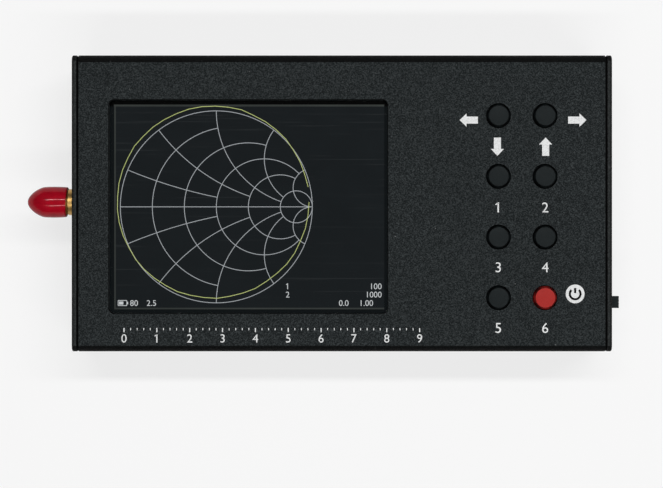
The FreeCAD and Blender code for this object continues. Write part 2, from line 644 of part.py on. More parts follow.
def slide_switch_knob():
    """The slider: a block inside the housing and the knob that stands out of the end plate."""
    block_half = (SLIDE_KNOB_LENGTH + 2 * SLIDE_BLOCK_OVERHANG) / 2
    x0 = BOARD_RIGHT - SLIDE_CAN_DEPTH + SLIDE_CAN_WALL + SLIDE_CLEARANCE
    x1 = BOARD_RIGHT - SLIDE_CAN_WALL - SLIDE_CLEARANCE
    z_gap = SLIDE_CAN_WALL + SLIDE_CLEARANCE
    block = slab(x0, x1, SLIDE_REST_Y - block_half, SLIDE_REST_Y + block_half,
                 BOARD_FRONT + z_gap, BOARD_FRONT + SLIDE_CAN_HEIGHT - z_gap)
    knob = slab(x1 - PAST, RIGHT_END + SLIDE_KNOB_PROUD,
                SLIDE_REST_Y - SLIDE_KNOB_LENGTH / 2, SLIDE_REST_Y + SLIDE_KNOB_LENGTH / 2,
                SLIDE_CENTRE_Z - SLIDE_KNOB_HEIGHT / 2, SLIDE_CENTRE_Z + SLIDE_KNOB_HEIGHT / 2)
    tip_edges = []
    for edge in knob.Edges:
        if edge.BoundBox.XMin > RIGHT_END + SLIDE_KNOB_PROUD - SAME:
            tip_edges.append(edge)
    return block.fuse(knob.makeFillet(SLIDE_KNOB_ROUND, tip_edges))


def port_tube(x0, x1, shrink):
    """A rounded bar of the charging port's section, made smaller by its wall."""
    half_y = PORT_WIDTH / 2 - shrink
    half_z = PORT_HEIGHT / 2 - shrink
    return round_edges(slab(x0, x1, PORT_CENTRE_Y - half_y, PORT_CENTRE_Y + half_y,
                            PORT_CENTRE_Z - half_z, PORT_CENTRE_Z + half_z),
                       X_AXIS, PORT_RADIUS - shrink)


def port_shell():
    """The drawn metal shell of the charging port, closed at its back."""
    mouth = TUBE_RIGHT + PORT_INTO_PLATE
    back = mouth - PORT_DEPTH
    return port_tube(back, mouth, 0).cut(port_tube(back + PORT_WALL, mouth + PAST, PORT_WALL))


def port_tongue():
    """The moulded tongue in the middle of the charging port."""
    mouth = TUBE_RIGHT + PORT_INTO_PLATE
    back = mouth - PORT_DEPTH + PORT_WALL
    tongue = slab(back, mouth - TONGUE_SET_BACK, PORT_CENTRE_Y - TONGUE_WIDTH / 2,
                  PORT_CENTRE_Y + TONGUE_WIDTH / 2, PORT_CENTRE_Z - TONGUE_THICKNESS / 2,
                  PORT_CENTRE_Z + TONGUE_THICKNESS / 2)
    return round_edges(tongue, X_AXIS, TONGUE_ROUND)


def socket_body():
    """The gold-plated body of the radio socket: barrel, flange and four board legs."""
    mouth = BARREL_MOUTH_DIAMETER / 2
    seat = INSULATOR_DIAMETER / 2
    c = BARREL_CHAMFER
    outline = [(-FLANGE_THICKNESS, seat), (-FLANGE_THICKNESS, BARREL_RADIUS),
               (BARREL_LENGTH - c, BARREL_RADIUS), (BARREL_LENGTH, BARREL_RADIUS - c),
               (BARREL_LENGTH, mouth), (BARREL_LENGTH - BARREL_MOUTH_DEPTH, mouth),
               (BARREL_LENGTH - BARREL_MOUTH_DEPTH, seat)]
    barrel = turned(outline, V(FLANGE_FRONT, SOCKET_Y, SOCKET_Z), -X_AXIS)
    half = FLANGE_HALF
    flange = slab(FLANGE_FRONT, BOARD_LEFT, SOCKET_Y - half, SOCKET_Y + half,
                  SOCKET_Z - half, SOCKET_Z + half)
    flange = flange.cut(long_rod(FLANGE_FRONT - PAST, BOARD_LEFT + PAST, SOCKET_Y, SOCKET_Z, seat))
    legs = []
    for side in (-1, 1):
        outer = SOCKET_Y + side * half
        inner = SOCKET_Y + side * (half - LEG_SIZE)
        for z0 in (BOARD_FRONT, BOARD_BACK - LEG_SIZE):
            legs.append(slab(BOARD_LEFT - FLANGE_THICKNESS / 2, BOARD_LEFT + LEG_LENGTH,
                             min(inner, outer), max(inner, outer), z0, z0 + LEG_SIZE))
    return barrel.fuse([flange] + legs).removeSplitter()


def socket_insulator():
    """The white insulator inside the barrel."""
    radius = INSULATOR_DIAMETER / 2
    bore = CONTACT_DIAMETER / 2
    end = BARREL_LENGTH - INSULATOR_RECESS
    outline = [(-FLANGE_THICKNESS, bore), (-FLANGE_THICKNESS, radius), (end, radius), (end, bore)]
    return turned(outline, V(FLANGE_FRONT, SOCKET_Y, SOCKET_Z), -X_AXIS)


def socket_contact():
    """The centre contact: a slotted tube at the mouth and a tail that lies on the board."""
    radius = CONTACT_DIAMETER / 2
    bore = CONTACT_BORE / 2
    tail = CONTACT_TAIL_DIAMETER / 2
    end = BARREL_LENGTH - INSULATOR_RECESS
    back = -FLANGE_THICKNESS
    tail_end = back - CONTACT_TAIL_LENGTH
    outline = [(tail_end, 0), (tail_end, tail), (back, tail), (back, radius), (end, radius),
               (end, bore), (end - CONTACT_BORE_DEPTH, bore), (end - CONTACT_BORE_DEPTH, 0)]
    contact = turned(outline, V(FLANGE_FRONT, SOCKET_Y, SOCKET_Z), -X_AXIS)
    mouth = FLANGE_FRONT - end
    half = CONTACT_SLOT / 2
    slots = []
    for half_y, half_z in ((half, radius), (radius, half)):
        slots.append(slab(mouth - PAST, mouth + CONTACT_BORE_DEPTH, SOCKET_Y - half_y, SOCKET_Y + half_y,
                          SOCKET_Z - half_z, SOCKET_Z + half_z))
    return contact.cut(slots)


def dust_cap():
    """The soft cap pushed over the barrel: a plain skirt that runs out into a blunt nose."""
    outer = CAP_RADIUS
    inner = CAP_BORE_RADIUS
    depth = CAP_RIM - BARREL_END + CAP_CLEARANCE
    shoulder = CAP_LENGTH - CAP_NOSE_LENGTH
    r = CAP_RIM_ROUND

    def at(h, radius):
        return V(radius, 0, h)

    nose = Part.BSplineCurve()
    nose.interpolate([at(shoulder, outer),
                      at(shoulder + NOSE_LOWER_HEIGHT * CAP_NOSE_LENGTH, NOSE_LOWER_RADIUS * outer),
                      at(shoulder + NOSE_UPPER_HEIGHT * CAP_NOSE_LENGTH, NOSE_UPPER_RADIUS * outer),
                      at(CAP_LENGTH, 0)],
                     InitialTangent=V(0, 0, 1), FinalTangent=V(-1, 0, 0))
    edges = [Part.LineSegment(at(CAP_LENGTH, 0), at(depth, 0)).toShape(),
             Part.LineSegment(at(depth, 0), at(depth, inner)).toShape(),
             Part.LineSegment(at(depth, inner), at(0, inner)).toShape(),
             Part.LineSegment(at(0, inner), at(0, outer - r)).toShape(),
             Part.LineSegment(at(0, outer - r), at(r, outer)).toShape(),
             Part.LineSegment(at(r, outer), at(shoulder, outer)).toShape(),
             nose.toShape()]
    solid = Part.Face(Part.Wire(edges)).revolve(V(0, 0, 0), Z_AXIS, 360)
    solid.Placement = FreeCAD.Placement(V(CAP_RIM, SOCKET_Y, SOCKET_Z), FreeCAD.Rotation(Z_AXIS, -X_AXIS))
    return solid


def shield_limits(grow):
    """The outline of the screening can, grown or shrunk on every side."""
    x0 = LEFT_END + SHIELD_FROM_LEFT
    return (x0 - grow, x0 + SHIELD_LENGTH + grow, -SHIELD_WIDTH / 2 - grow, SHIELD_WIDTH / 2 + grow)


def shield_frame():
    """The soldered fence of the screening can, on the back of the board."""
    z0 = BOARD_BACK - SHIELD_HEIGHT
    fence = slab(*shield_limits(0), z0, BOARD_BACK)
    return fence.cut(slab(*shield_limits(-SHIELD_WALL), z0 - PAST, BOARD_BACK + PAST))


def shield_lid():
    """The lid clipped over the fence."""
    z1 = BOARD_BACK - SHIELD_HEIGHT
    z0 = z1 - SHIELD_LID_THICKNESS
    lid = slab(*shield_limits(SHIELD_LID_THICKNESS), z0, z1 + SHIELD_LID_SKIRT)
    return lid.cut(slab(*shield_limits(0), z1, z1 + SHIELD_LID_SKIRT + PAST))


def board_chip(x, y, size):
    """One square chip on the back of the board."""
    half = size / 2
    return slab(x - half, x + half, y - half, y + half, BOARD_BACK - CHIP_HEIGHT, BOARD_BACK)


def board_chips():
    """The larger chips: a row inside the screening can, and two more to the right of it."""
    shield_left = LEFT_END + SHIELD_FROM_LEFT
    chips = []
    for number in range(RADIO_CHIPS):
        chips.append(board_chip(shield_left + (number + 1) * RADIO_CHIP_PITCH, 0, RADIO_CHIP_SIZE))
    beside = shield_left + SHIELD_LENGTH + CHIPS_FROM_SHIELD
    chips.append(board_chip(beside, PROCESSOR_Y, PROCESSOR_SIZE))
    chips.append(board_chip(beside, CHARGER_Y, CHARGER_SIZE))
    return Part.makeCompound(chips)


def battery_cell():
    """The flat rechargeable cell with its rounded long edges."""
    x0 = BATTERY_RIGHT - BATTERY_LENGTH
    cell = slab(x0, BATTERY_RIGHT, -BATTERY_WIDTH / 2, BATTERY_WIDTH / 2,
                BATTERY_BOTTOM, BATTERY_BOTTOM + BATTERY_THICKNESS)
    return round_edges(cell, X_AXIS, BATTERY_ROUND)


def battery_tape():
    """Two strips of tape between the cell and the rear half."""
    strips = []
    for side in (-1, 1):
        middle = side * BATTERY_WIDTH / 4
        strips.append(slab(BATTERY_RIGHT - BATTERY_LENGTH + TAPE_INSET, BATTERY_RIGHT - TAPE_INSET,
                           middle - BATTERY_TAPE_WIDTH / 2, middle + BATTERY_TAPE_WIDTH / 2,
                           FACE_WALL, BATTERY_BOTTOM))
    return Part.makeCompound(strips)


def plug_limits():
    """Where the battery plug stands: the X of its middle and the height of its lower end."""
    x = BATTERY_RIGHT + LEAD_STRAIGHT + LEAD_BEND_RADIUS
    z = BATTERY_BOTTOM + BATTERY_THICKNESS / 2 + LEAD_BEND_RADIUS + LEAD_RISE
    return (x, z)


def battery_lead():
    """The two insulated wires from the cell, turned up in one bend to the plug."""
    wires = []
    plug_x, plug_z = plug_limits()
    start_z = BATTERY_BOTTOM + BATTERY_THICKNESS / 2
    slant = LEAD_BEND_RADIUS * (1 - math.sqrt(0.5))
    for side in (-1, 1):
        y = side * LEAD_PITCH / 2
        start = V(BATTERY_RIGHT, y, start_z)
        bend_start = V(plug_x - LEAD_BEND_RADIUS, y, start_z)
        bend_middle = V(plug_x - slant, y, start_z + slant)
        bend_end = V(plug_x, y, start_z + LEAD_BEND_RADIUS)
        edges = [Part.LineSegment(start, bend_start).toShape(),
                 Part.Arc(bend_start, bend_middle, bend_end).toShape(),
                 Part.LineSegment(bend_end, V(plug_x, y, plug_z)).toShape()]
        section = Part.Wire(Part.makeCircle(LEAD_DIAMETER / 2, start, X_AXIS))
        wires.append(swept(section, Part.Wire(edges)))
    return Part.makeCompound(wires)


def battery_plug():
    """The plug on the battery lead, pushed up into the header."""
    plug_x, plug_z = plug_limits()
    half_x = HEADER_LENGTH / 2 - HEADER_WALL - PLUG_CLEARANCE
    half_y = HEADER_WIDTH / 2 - HEADER_WALL - PLUG_CLEARANCE
    return slab(plug_x - half_x, plug_x + half_x, -half_y, half_y, plug_z, BOARD_BACK - HEADER_WALL)


def battery_header():
    """The header on the back of the board that the plug goes into."""
    plug_x, plug_z = plug_limits()
    half_x = HEADER_LENGTH / 2
    half_y = HEADER_WIDTH / 2
    block = slab(plug_x - half_x, plug_x + half_x, -half_y, half_y, BOARD_BACK - HEADER_HEIGHT, BOARD_BACK)
    room = slab(plug_x - half_x + HEADER_WALL, plug_x + half_x - HEADER_WALL, -half_y + HEADER_WALL,
                half_y - HEADER_WALL, BOARD_BACK - HEADER_HEIGHT - PAST, BOARD_BACK - HEADER_WALL)
    return block.cut(room)


def build():
    """Every piece of the analyzer, by name."""
    parts = {
        "front_shell": front_shell(),
        "rear_shell": rear_shell(),
        "left_end_plate": left_end_plate(),
        "right_end_plate": right_end_plate(),
        "left_plate_screws": end_screws(LEFT_END, 1),
        "right_plate_screws": end_screws(RIGHT_END, -1),
        "display_gasket": display_gasket(),
        "touch_panel": panel_layer(CELL_TOP, TOUCH_TOP, TOUCH_INSET),
        "display_cell": panel_layer(BACKLIGHT_TOP, CELL_TOP, CELL_INSET),
        "backlight_frame": panel_layer(TAPE_TOP, BACKLIGHT_TOP, 0),
        "display_tape": display_tape(),
        "display_flex": display_flex(),
        "flex_socket": flex_socket(),
        "main_board": main_board(),
        "board_chips": board_chips(),
        "shield_frame": shield_frame(),
        "shield_lid": shield_lid(),
        "slide_switch_can": slide_switch_can(),
        "slide_switch_knob": slide_switch_knob(),
        "port_shell": port_shell(),
        "port_tongue": port_tongue(),
        "socket_body": socket_body(),
        "socket_insulator": socket_insulator(),
        "socket_contact": socket_contact(),
        "dust_cap": dust_cap(),
        "battery_cell": battery_cell(),
        "battery_tape": battery_tape(),
        "battery_lead": battery_lead(),
        "battery_plug": battery_plug(),
        "battery_header": battery_header(),
    }
    places = key_places()
    parts["key_switch_bases"] = Part.makeCompound([key_switch_base(x, y) for name, x, y in places])
    parts["key_switch_covers"] = Part.makeCompound([key_switch_cover(x, y) for name, x, y in places])
    for name, x, y in places:
        parts[name + "_cap"] = key_cap(x, y)
        parts[name + "_plunger"] = key_plunger(x, y)
    return parts


os.makedirs("parts", exist_ok=True)
for node, shape in build().items():
    shape.exportStep(os.path.join("parts", node + ".step"))
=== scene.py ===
"""Looks of a handheld antenna analyzer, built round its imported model.

Laid out as an add-on and run as a script. X runs to the right along the case,
Y to its top edge and Z out of its front face, in metres.
"""

import cmath
import math

import bmesh
import bpy
from mathutils import Matrix, Vector, noise


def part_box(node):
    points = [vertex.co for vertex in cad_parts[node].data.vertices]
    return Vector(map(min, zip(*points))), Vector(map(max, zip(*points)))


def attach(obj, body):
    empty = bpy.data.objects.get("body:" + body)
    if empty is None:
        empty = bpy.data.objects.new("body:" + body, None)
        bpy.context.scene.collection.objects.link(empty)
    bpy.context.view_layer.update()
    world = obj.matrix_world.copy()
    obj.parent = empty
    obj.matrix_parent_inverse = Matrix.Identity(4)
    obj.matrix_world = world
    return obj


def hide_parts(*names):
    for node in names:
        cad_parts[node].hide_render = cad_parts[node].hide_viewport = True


bl_info = {
    "name": "Antenna Analyzer Looks",
    "version": (1, 0, 0),
    "blender": (4, 5, 0),
    "location": "View3D > Sidebar > Analyzer",
    "description": "Builds the finishes and the fine pieces of a handheld antenna analyzer",
    "category": "Object",
}

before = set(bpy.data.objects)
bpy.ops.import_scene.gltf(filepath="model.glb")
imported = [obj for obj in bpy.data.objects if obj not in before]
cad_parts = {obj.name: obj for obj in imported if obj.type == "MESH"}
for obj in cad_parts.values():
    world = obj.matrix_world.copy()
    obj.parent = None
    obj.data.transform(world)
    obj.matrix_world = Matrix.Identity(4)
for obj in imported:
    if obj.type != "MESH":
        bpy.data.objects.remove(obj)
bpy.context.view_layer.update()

MM = 0.001
FULL_TURN = 2 * math.pi
WELD = 1e-7
SHARP_ANGLE = math.radians(32)
ROUND_STEPS = 48
ARROW_HEAD_SHARE = 0.38
ARROW_SHAFT_SHARE = 0.53
# Share of the colour left where shade is painted on rounded corners and rims
CORNER_SHADE = 0.15

KEY_NAMES = ("key_left", "key_right", "key_1", "key_2", "key_3", "key_4", "key_5", "key_power")


# Sizes and colours that a user would change


def length(name, description, default):
    """A length property, in metres."""
    return bpy.props.FloatProperty(
        name=name, description=description, default=default, unit="LENGTH", subtype="DISTANCE", precision=5)


def colour(name, description, default):
    """A colour property."""
    return bpy.props.FloatVectorProperty(
        name=name, description=description, default=default, subtype="COLOR", size=3, min=0.0, max=1.0)


def factor(name, description, default):
    """A property from 0 to 1."""
    return bpy.props.FloatProperty(
        name=name, description=description, default=default, min=0.0, max=1.0, subtype="FACTOR")


class CaseSettings(bpy.types.PropertyGroup):
    paint: colour("Paint", "Colour of the blasted black finish", (0.0070, 0.0094, 0.0101))
    paint_light: colour("Grain colour", "Colour of the lightest grains", (0.0430, 0.0505, 0.0525))
    plate_paint: colour("Plate paint", "Colour of the finish on the end plates", (0.0172, 0.0194, 0.0197))
    plate_light: colour("Plate grain", "Colour of the plates' lightest grains", (0.0390, 0.0432, 0.0436))
    worn: colour("Worn edge", "Colour where the finish has worn thin", (0.075, 0.080, 0.082))
    grain: length("Grain size", "Size of the blasted grain", 0.29 * MM)
    wear: factor("Edge wear", "How much of the sharp edges is worn", 0.50)
    # Seal colour and inset: the dark strips in the gaps at the end plates are painted shade; the power mark
    # in this colour is print
    seal: colour("Seal", "Colour of the seal between an end plate and the case", (0.0012, 0.0013, 0.0013))
    seal_inset: length("Seal inset", "Depth of the seal below the case's surface", 0.25 * MM)


class KeySettings(bpy.types.PropertyGroup):
    plastic: colour("Key colour", "Colour of the dark keys", (0.0055, 0.0084, 0.0092))
    power_plastic: colour("Power key colour", "Colour of the power key", (0.355, 0.014, 0.010))
    # Rubbed edge: the lighter line on a dark key's rim is partly wear and partly a painted highlight
    rubbed: colour("Rubbed edge", "Colour where the edge of a dark key is rubbed", (0.042, 0.047, 0.049))
    rim: length("Rim width", "Width of the steep rim round a key's top", 0.36 * MM)
    rim_depth: length("Rim depth", "Height of the steep rim round a key's top", 0.85 * MM)
    crown: length("Crown", "Height by which a key's top is domed", 0.06 * MM)


class ScreenSettings(bpy.types.PropertyGroup):
    active_size_x: length("Picture width", "Width of the picture area", 64.8 * MM)
    active_size_y: length("Picture height", "Height of the picture area", 48.6 * MM)
    active_shift: length("Picture shift", "Shift of the picture from the window's middle", 0.4 * MM)
    lift: length("Chart lift", "Height of the chart's lines over the display", 0.02 * MM)
    picture: colour("Picture", "Colour of the dark picture", (0.0089, 0.0111, 0.0125))
    grid: colour("Grid", "Colour of the chart's grid", (0.40, 0.42, 0.44))
    trace: colour("Trace", "Colour of the measured trace", (0.50, 0.56, 0.20))
    chart_shift: length("Chart shift", "How far the chart lies left of the picture's middle", 8.27 * MM)
    chart_radius: length("Chart radius", "Radius of the chart's outer circle", 23.25 * MM)
    line: length("Line width", "Width of the chart's lines", 0.17 * MM)
    jitter: length("Trace jitter", "How far the trace wanders from a true circle", 0.25 * MM)
    figure_height: length("Figure height", "Height of the figures on the screen", 1.4 * MM)


class SocketSettings(bpy.types.PropertyGroup):
    gold: colour("Gold", "Colour of the gold plating", (0.585, 0.365, 0.125))
    thread_pitch: length("Thread pitch", "Pitch of the socket's outer thread", 0.7056 * MM)
    thread_depth: length("Thread depth", "Depth of the socket's outer thread", 0.38 * MM)
    neck: length("Neck length", "Plain length of barrel outside the end plate", 1.9 * MM)
    chamfer: length("Mouth chamfer", "Chamfer round the mouth of the barrel", 0.35 * MM)
    edge: length("Edge rounding", "Rounding of the flange's edges", 0.12 * MM)


class CapSettings(bpy.types.PropertyGroup):
    vinyl: colour("Cap colour", "Colour of the soft cap", (0.40, 0.003, 0.014))
    belly: length("Belly", "Height by which the cap's skirt bulges in its middle", 0.12 * MM)


class FittingSettings(bpy.types.PropertyGroup):
    hex_size: length("Hexagon", "Width across the flats of a screw's hexagon", 2.0 * MM)
    hex_depth: length("Hexagon depth", "Depth of a screw's hexagon", 1.3 * MM)
    ridge_depth: length("Groove depth", "Depth of the grooves across the slider's tip", 0.3 * MM)
    slider_edge: length("Slider edge", "Rounding of the slider's edges", 0.07 * MM)
    contact_width: length("Contact width", "Width of one contact on the port's tongue", 0.26 * MM)
    contact_pitch: length("Contact pitch", "Distance between contacts on the port's tongue", 0.5 * MM)


class PrintSettings(bpy.types.PropertyGroup):
    ink: colour("Ink", "Colour of the printed legends", (0.82, 0.83, 0.83))
    figure_height: length("Figure height", "Height of the numbers printed by the keys", 2.4 * MM)
    scale_height: length("Scale figure height", "Height of the figures on the printed scale", 2.0 * MM)
    film: length("Film", "Thickness of the printed ink", 0.012 * MM)
    arrow_length: length("Arrow length", "Length of a printed arrow", 4.4 * MM)
    arrow_width: length("Arrow width", "Width of a printed arrow's head", 3.2 * MM)
    mark_radius: length("Power disc", "Radius of the disc beside the power key", 2.26 * MM)
    mark_line: length("Power mark line", "Width of the mark's line on that disc", 0.52 * MM)


class StudioSettings(bpy.types.PropertyGroup):
    floor: colour("Floor", "Colour of the plain floor", (0.90, 0.90, 0.90))
    camera_distance: length("Camera distance", "Distance of the camera from the front face", 450 * MM)
    view_width: length("View width", "Width that the picture shows at the front face", 159.45 * MM)


SETTINGS = {
    "analyzer_case": CaseSettings,
    "analyzer_keys": KeySettings,
    "analyzer_screen": ScreenSettings,
    "analyzer_socket": SocketSettings,
    "analyzer_cap": CapSettings,
    "analyzer_fittings": FittingSettings,
    "analyzer_print": PrintSettings,
    "analyzer_studio": StudioSettings,
}


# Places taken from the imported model


def low(node):
    """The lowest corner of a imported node."""
    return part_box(node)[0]


def high(node):
    """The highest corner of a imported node."""
    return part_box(node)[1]


def middle(node):
    """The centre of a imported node."""
    return (low(node) + high(node)) / 2


FACE_Z = high("front_shell").z
SOCKET_AXIS = Vector((0, middle("dust_cap").y, middle("dust_cap").z))


# Mesh helpers


def verts_in(parts):
    """The vertices among the parts that a mesh operator gives back."""
    return [part for part in parts if isinstance(part, bmesh.types.BMVert)]


def shift(bm, offset):
    """Move the whole mesh."""
    bmesh.ops.translate(bm, vec=offset, verts=bm.verts)


def turn_about_y(bm, angle):
    """Turn the whole mesh about Y."""
    bmesh.ops.rotate(bm, cent=(0, 0, 0), matrix=Matrix.Rotation(angle, 3, "Y"), verts=bm.verts)


def spin(bm, parts, centre, angle, steps, rise=0.0, close=False):
    """Sweep vertices and edges round Z, with a rise at each step, and maybe close the ring."""
    bmesh.ops.spin(
        bm, geom=parts, cent=centre, axis=(0, 0, 1), dvec=(0, 0, rise), angle=angle, steps=steps,
        use_merge=close, use_normal_flip=False, use_duplicate=False)


def add_chain(bm, points):
    """Add a chain of edges through (radius, height) points and return all of its parts."""
    chain = [bm.verts.new((radius, 0, height)) for radius, height in points]
    return chain + [bm.edges.new(pair) for pair in zip(chain, chain[1:])]


def turn_chain(bm, points, steps=ROUND_STEPS):
    """Turn a chain of (radius, height) points about Z into a round form."""
    spin(bm, add_chain(bm, points), (0, 0, 0), FULL_TURN, steps, close=True)
    bmesh.ops.remove_doubles(bm, verts=bm.verts, dist=WELD)


def soften(bm, edges, width, segments):
    """Round edges off with a bevel."""
    bmesh.ops.bevel(
        bm, geom=edges, offset=width, offset_type="OFFSET", affect="EDGES", segments=segments,
        profile=0.5, material=-1, clamp_overlap=True)


def level_edges(edges, height):
    """Those of the given edges that lie at one height."""
    return [edge for edge in edges if all(abs(vert.co.z - height) < WELD for vert in edge.verts)]


def ring_edges(bm, radius, height):
    """The edges of a turned form that lie on one circle."""
    return [edge for edge in level_edges(bm.edges, height)
            if all(abs(vert.co.xy.length - radius) < WELD for vert in edge.verts)]


def add_block(bm, lowest, highest):
    """Add a block between two corners and return its vertices."""
    size = highest - lowest
    place = Matrix.Translation((lowest + highest) / 2) @ Matrix.Diagonal((*size, 1))
    return bmesh.ops.create_cube(bm, size=1, matrix=place)["verts"]


def edges_of(verts):
    """The edges that join the given vertices."""
    inside = set(verts)
    found = {edge for vert in verts for edge in vert.link_edges if edge.other_vert(vert) in inside}
    return sorted(found, key=lambda edge: edge.index)


def edges_along(verts, axis):
    """The edges of a block that run along one axis."""
    return [edge for edge in edges_of(verts) if abs(edge.verts[0].co[axis] - edge.verts[1].co[axis]) > WELD]


def add_arc(bm, centre, radius, start, sweep, width, steps):
    """Add a flat arc of the given line width, turned about its centre."""
    direction = Vector((math.cos(start), math.sin(start), 0))
    ends = [bm.verts.new(centre + direction * (radius + side * width / 2)) for side in (-1, 1)]
    closed = abs(sweep) > FULL_TURN - 0.001
    spin(bm, ends + [bm.edges.new(ends)], centre, sweep, steps, close=closed)


def add_strip(bm, start, end, width):
    """Add a flat straight strip between two points."""
    along = end - start
    across = Vector((-along.y, along.x, 0)).normalized() * width / 2
    edge = bm.edges.new((bm.verts.new(start - across), bm.verts.new(start + across)))
    grown = bmesh.ops.extrude_edge_only(bm, edges=[edge])["geom"]
    bmesh.ops.translate(bm, vec=along, verts=verts_in(grown))


def add_arrow(bm, centre, turn, long, wide):
    """Add a flat block arrow that points along X, turned about its centre."""
    neck, tip = long / 2 - long * ARROW_HEAD_SHARE, long / 2
    shaft, barb = wide * ARROW_SHAFT_SHARE / 2, wide / 2
    points = [(-tip, -shaft), (neck, -shaft), (neck, -barb), (tip, 0),
              (neck, barb), (neck, shaft), (-tip, shaft)]
    place = Matrix.Translation(centre) @ Matrix.Rotation(turn, 4, "Z")
    bm.faces.new([bm.verts.new(place @ Vector((x, y, 0))) for x, y in points])


def add_object(name, data):
    """Put data into the scene as an object."""
    made = bpy.data.objects.new(name, data)
    bpy.context.scene.collection.objects.link(made)
    return made


def add_text(bm, words, height, centre):
    """Add flat figures of the given height, centred on a point, with a flag on a lone 1."""
    curve = bpy.data.curves.new("figures", "FONT")
    curve.body = words
    holder = add_object("figures", curve)
    graph = bpy.context.evaluated_depsgraph_get()
    mesh = bpy.data.meshes.new_from_object(holder.evaluated_get(graph))
    xs = [vert.co.x for vert in mesh.vertices]
    ys = [vert.co.y for vert in mesh.vertices]
    scale = height / (max(ys) - min(ys))
    mesh.transform(Matrix.Translation((-(min(xs) + max(xs)) / 2, -(min(ys) + max(ys)) / 2, 0)))
    mesh.transform(Matrix.Translation(centre) @ Matrix.Diagonal((scale, scale, 1, 1)))
    bm.from_mesh(mesh)
    if words == "1":
        tip = centre + Vector((0, height * 0.46, 0))
        add_strip(bm, tip - Vector((height * 0.26, height * 0.20, 0)), tip, height * 0.11)
    bpy.data.meshes.remove(mesh)
    bpy.data.objects.remove(holder)
    bpy.data.curves.remove(curve)


def make_piece(bm, name, body, look, *nodes, flat=False):
    """Turn a mesh into a piece that rides on a body and stands for the given nodes.

    A flat print is faced out of the front, and a solid form outwards.
    """
    if flat:
        bm.normal_update()
        bmesh.ops.reverse_faces(bm, faces=[face for face in bm.faces if face.normal.z < 0])
    else:
        bmesh.ops.recalc_face_normals(bm, faces=bm.faces)
    mesh = bpy.data.meshes.new(name)
    bm.to_mesh(mesh)
    bm.free()
    mesh.shade_smooth()
    mesh.set_sharp_from_angle(angle=SHARP_ANGLE)
    mesh.materials.append(finish(look))
    piece = add_object(name, mesh)
    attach(piece, body)
    if nodes:
        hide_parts(*nodes)
    return piece


# Node helpers


def set_inputs(made, values):
    """Set a node's inputs, and link those whose value is another node's output."""
    for name, value in values.items():
        if isinstance(value, bpy.types.NodeSocket):
            made.id_data.links.new(value, made.inputs[name])
        else:
            made.inputs[name].default_value = value


def node(tree, kind, inputs=None, **settings):
    """Add a node with its own settings and its inputs."""
    made = tree.nodes.new("ShaderNode" + kind)
    for name, value in settings.items():
        setattr(made, name, value)
    set_inputs(made, inputs or {})
    return made


def maths(tree, operation, first, second=0.0, clamp=False):
    """Add a maths node and return its result."""
    return node(tree, "Math", {0: first, 1: second}, operation=operation, use_clamp=clamp).outputs[0]


def spread(tree, value, from_low, from_high, to_low=0.0, to_high=1.0):
    """Map a value from one range to another and return the result."""
    inputs = {"Value": value, "From Min": from_low, "From Max": from_high,
              "To Min": to_low, "To Max": to_high}
    return node(tree, "MapRange", inputs).outputs["Result"]


def between(tree, mask, least, most):
    """Turn a mask into a value between two others."""
    return spread(tree, mask, 0.0, 1.0, least, most)


def scaled(shade, share):
    """A colour with each of its parts scaled."""
    return [value * share for value in shade]


def mix_colour(tree, mask, first, second):
    """Mix two colours by a mask and return the result."""
    inputs = {0: mask}
    for key, shade in ((6, first), (7, second)):
        inputs[key] = shade if isinstance(shade, bpy.types.NodeSocket) else (*shade, 1)
    return node(tree, "Mix", inputs, data_type="RGBA").outputs[2]


def split(tree, vector):
    """The three parts of a vector."""
    return node(tree, "SeparateXYZ", {0: vector}).outputs


def cloud(tree, place, scale, detail, **others):
    """Add a noise texture and return its value."""
    inputs = {"Vector": place, "Scale": scale, "Detail": detail, **others}
    return node(tree, "TexNoise", inputs).outputs[0]


def bump(tree, height, distance):
    """The normal that a height gives."""
    return node(tree, "Bump", {"Distance": distance, "Height": height}).outputs[0]


# Shared effects: each is worked out in its own node group, from that group's inputs


def fine_grain(tree, given):
    """Fine blasted or moulded grain of two sizes."""
    scale = maths(tree, "DIVIDE", 1.0, given["Size"])
    coarse = cloud(tree, given["Coordinates"], scale, 1.0)
    fine = cloud(tree, given["Coordinates"], maths(tree, "MULTIPLY", scale, 2.7), 1.0)
    both = maths(tree, "ADD", maths(tree, "MULTIPLY", coarse, 0.6), maths(tree, "MULTIPLY", fine, 0.4))
    return spread(tree, both, 0.42, 0.62)


def stray_specks(tree, given):
    """Small stray specks, such as dust or a chipped grain."""
    scale = maths(tree, "DIVIDE", 1.0, given["Spacing"])
    cells = node(tree, "TexVoronoi", {"Vector": given["Coordinates"], "Scale": scale}).outputs
    drawn = node(tree, "SeparateColor", {0: cells["Color"]}).outputs[0]
    picked = maths(tree, "LESS_THAN", drawn, given["Share"])
    near = maths(tree, "LESS_THAN", cells["Distance"], given["Radius"])
    return maths(tree, "MULTIPLY", picked, near)


def edge_wear(tree, given):
    """A broken-up mask along sharp edges."""
    rounded = node(tree, "Bevel", {"Radius": given["Width"]}, samples=6).outputs[0]
    flat = node(tree, "NewGeometry").outputs["Normal"]
    turned = node(tree, "VectorMath", {0: rounded, 1: flat}, operation="DOT_PRODUCT").outputs["Value"]
    edge = spread(tree, turned, 0.995, 0.93)
    patches = cloud(tree, given["Coordinates"], maths(tree, "DIVIDE", 1.0, given["Patch"]), 4.0)
    left = maths(tree, "MULTIPLY", maths(tree, "SUBTRACT", 1.0, given["Amount"]), 0.7)
    broken = maths(tree, "MULTIPLY", maths(tree, "SUBTRACT", patches, left), 4.0, clamp=True)
    return maths(tree, "MULTIPLY", edge, broken)


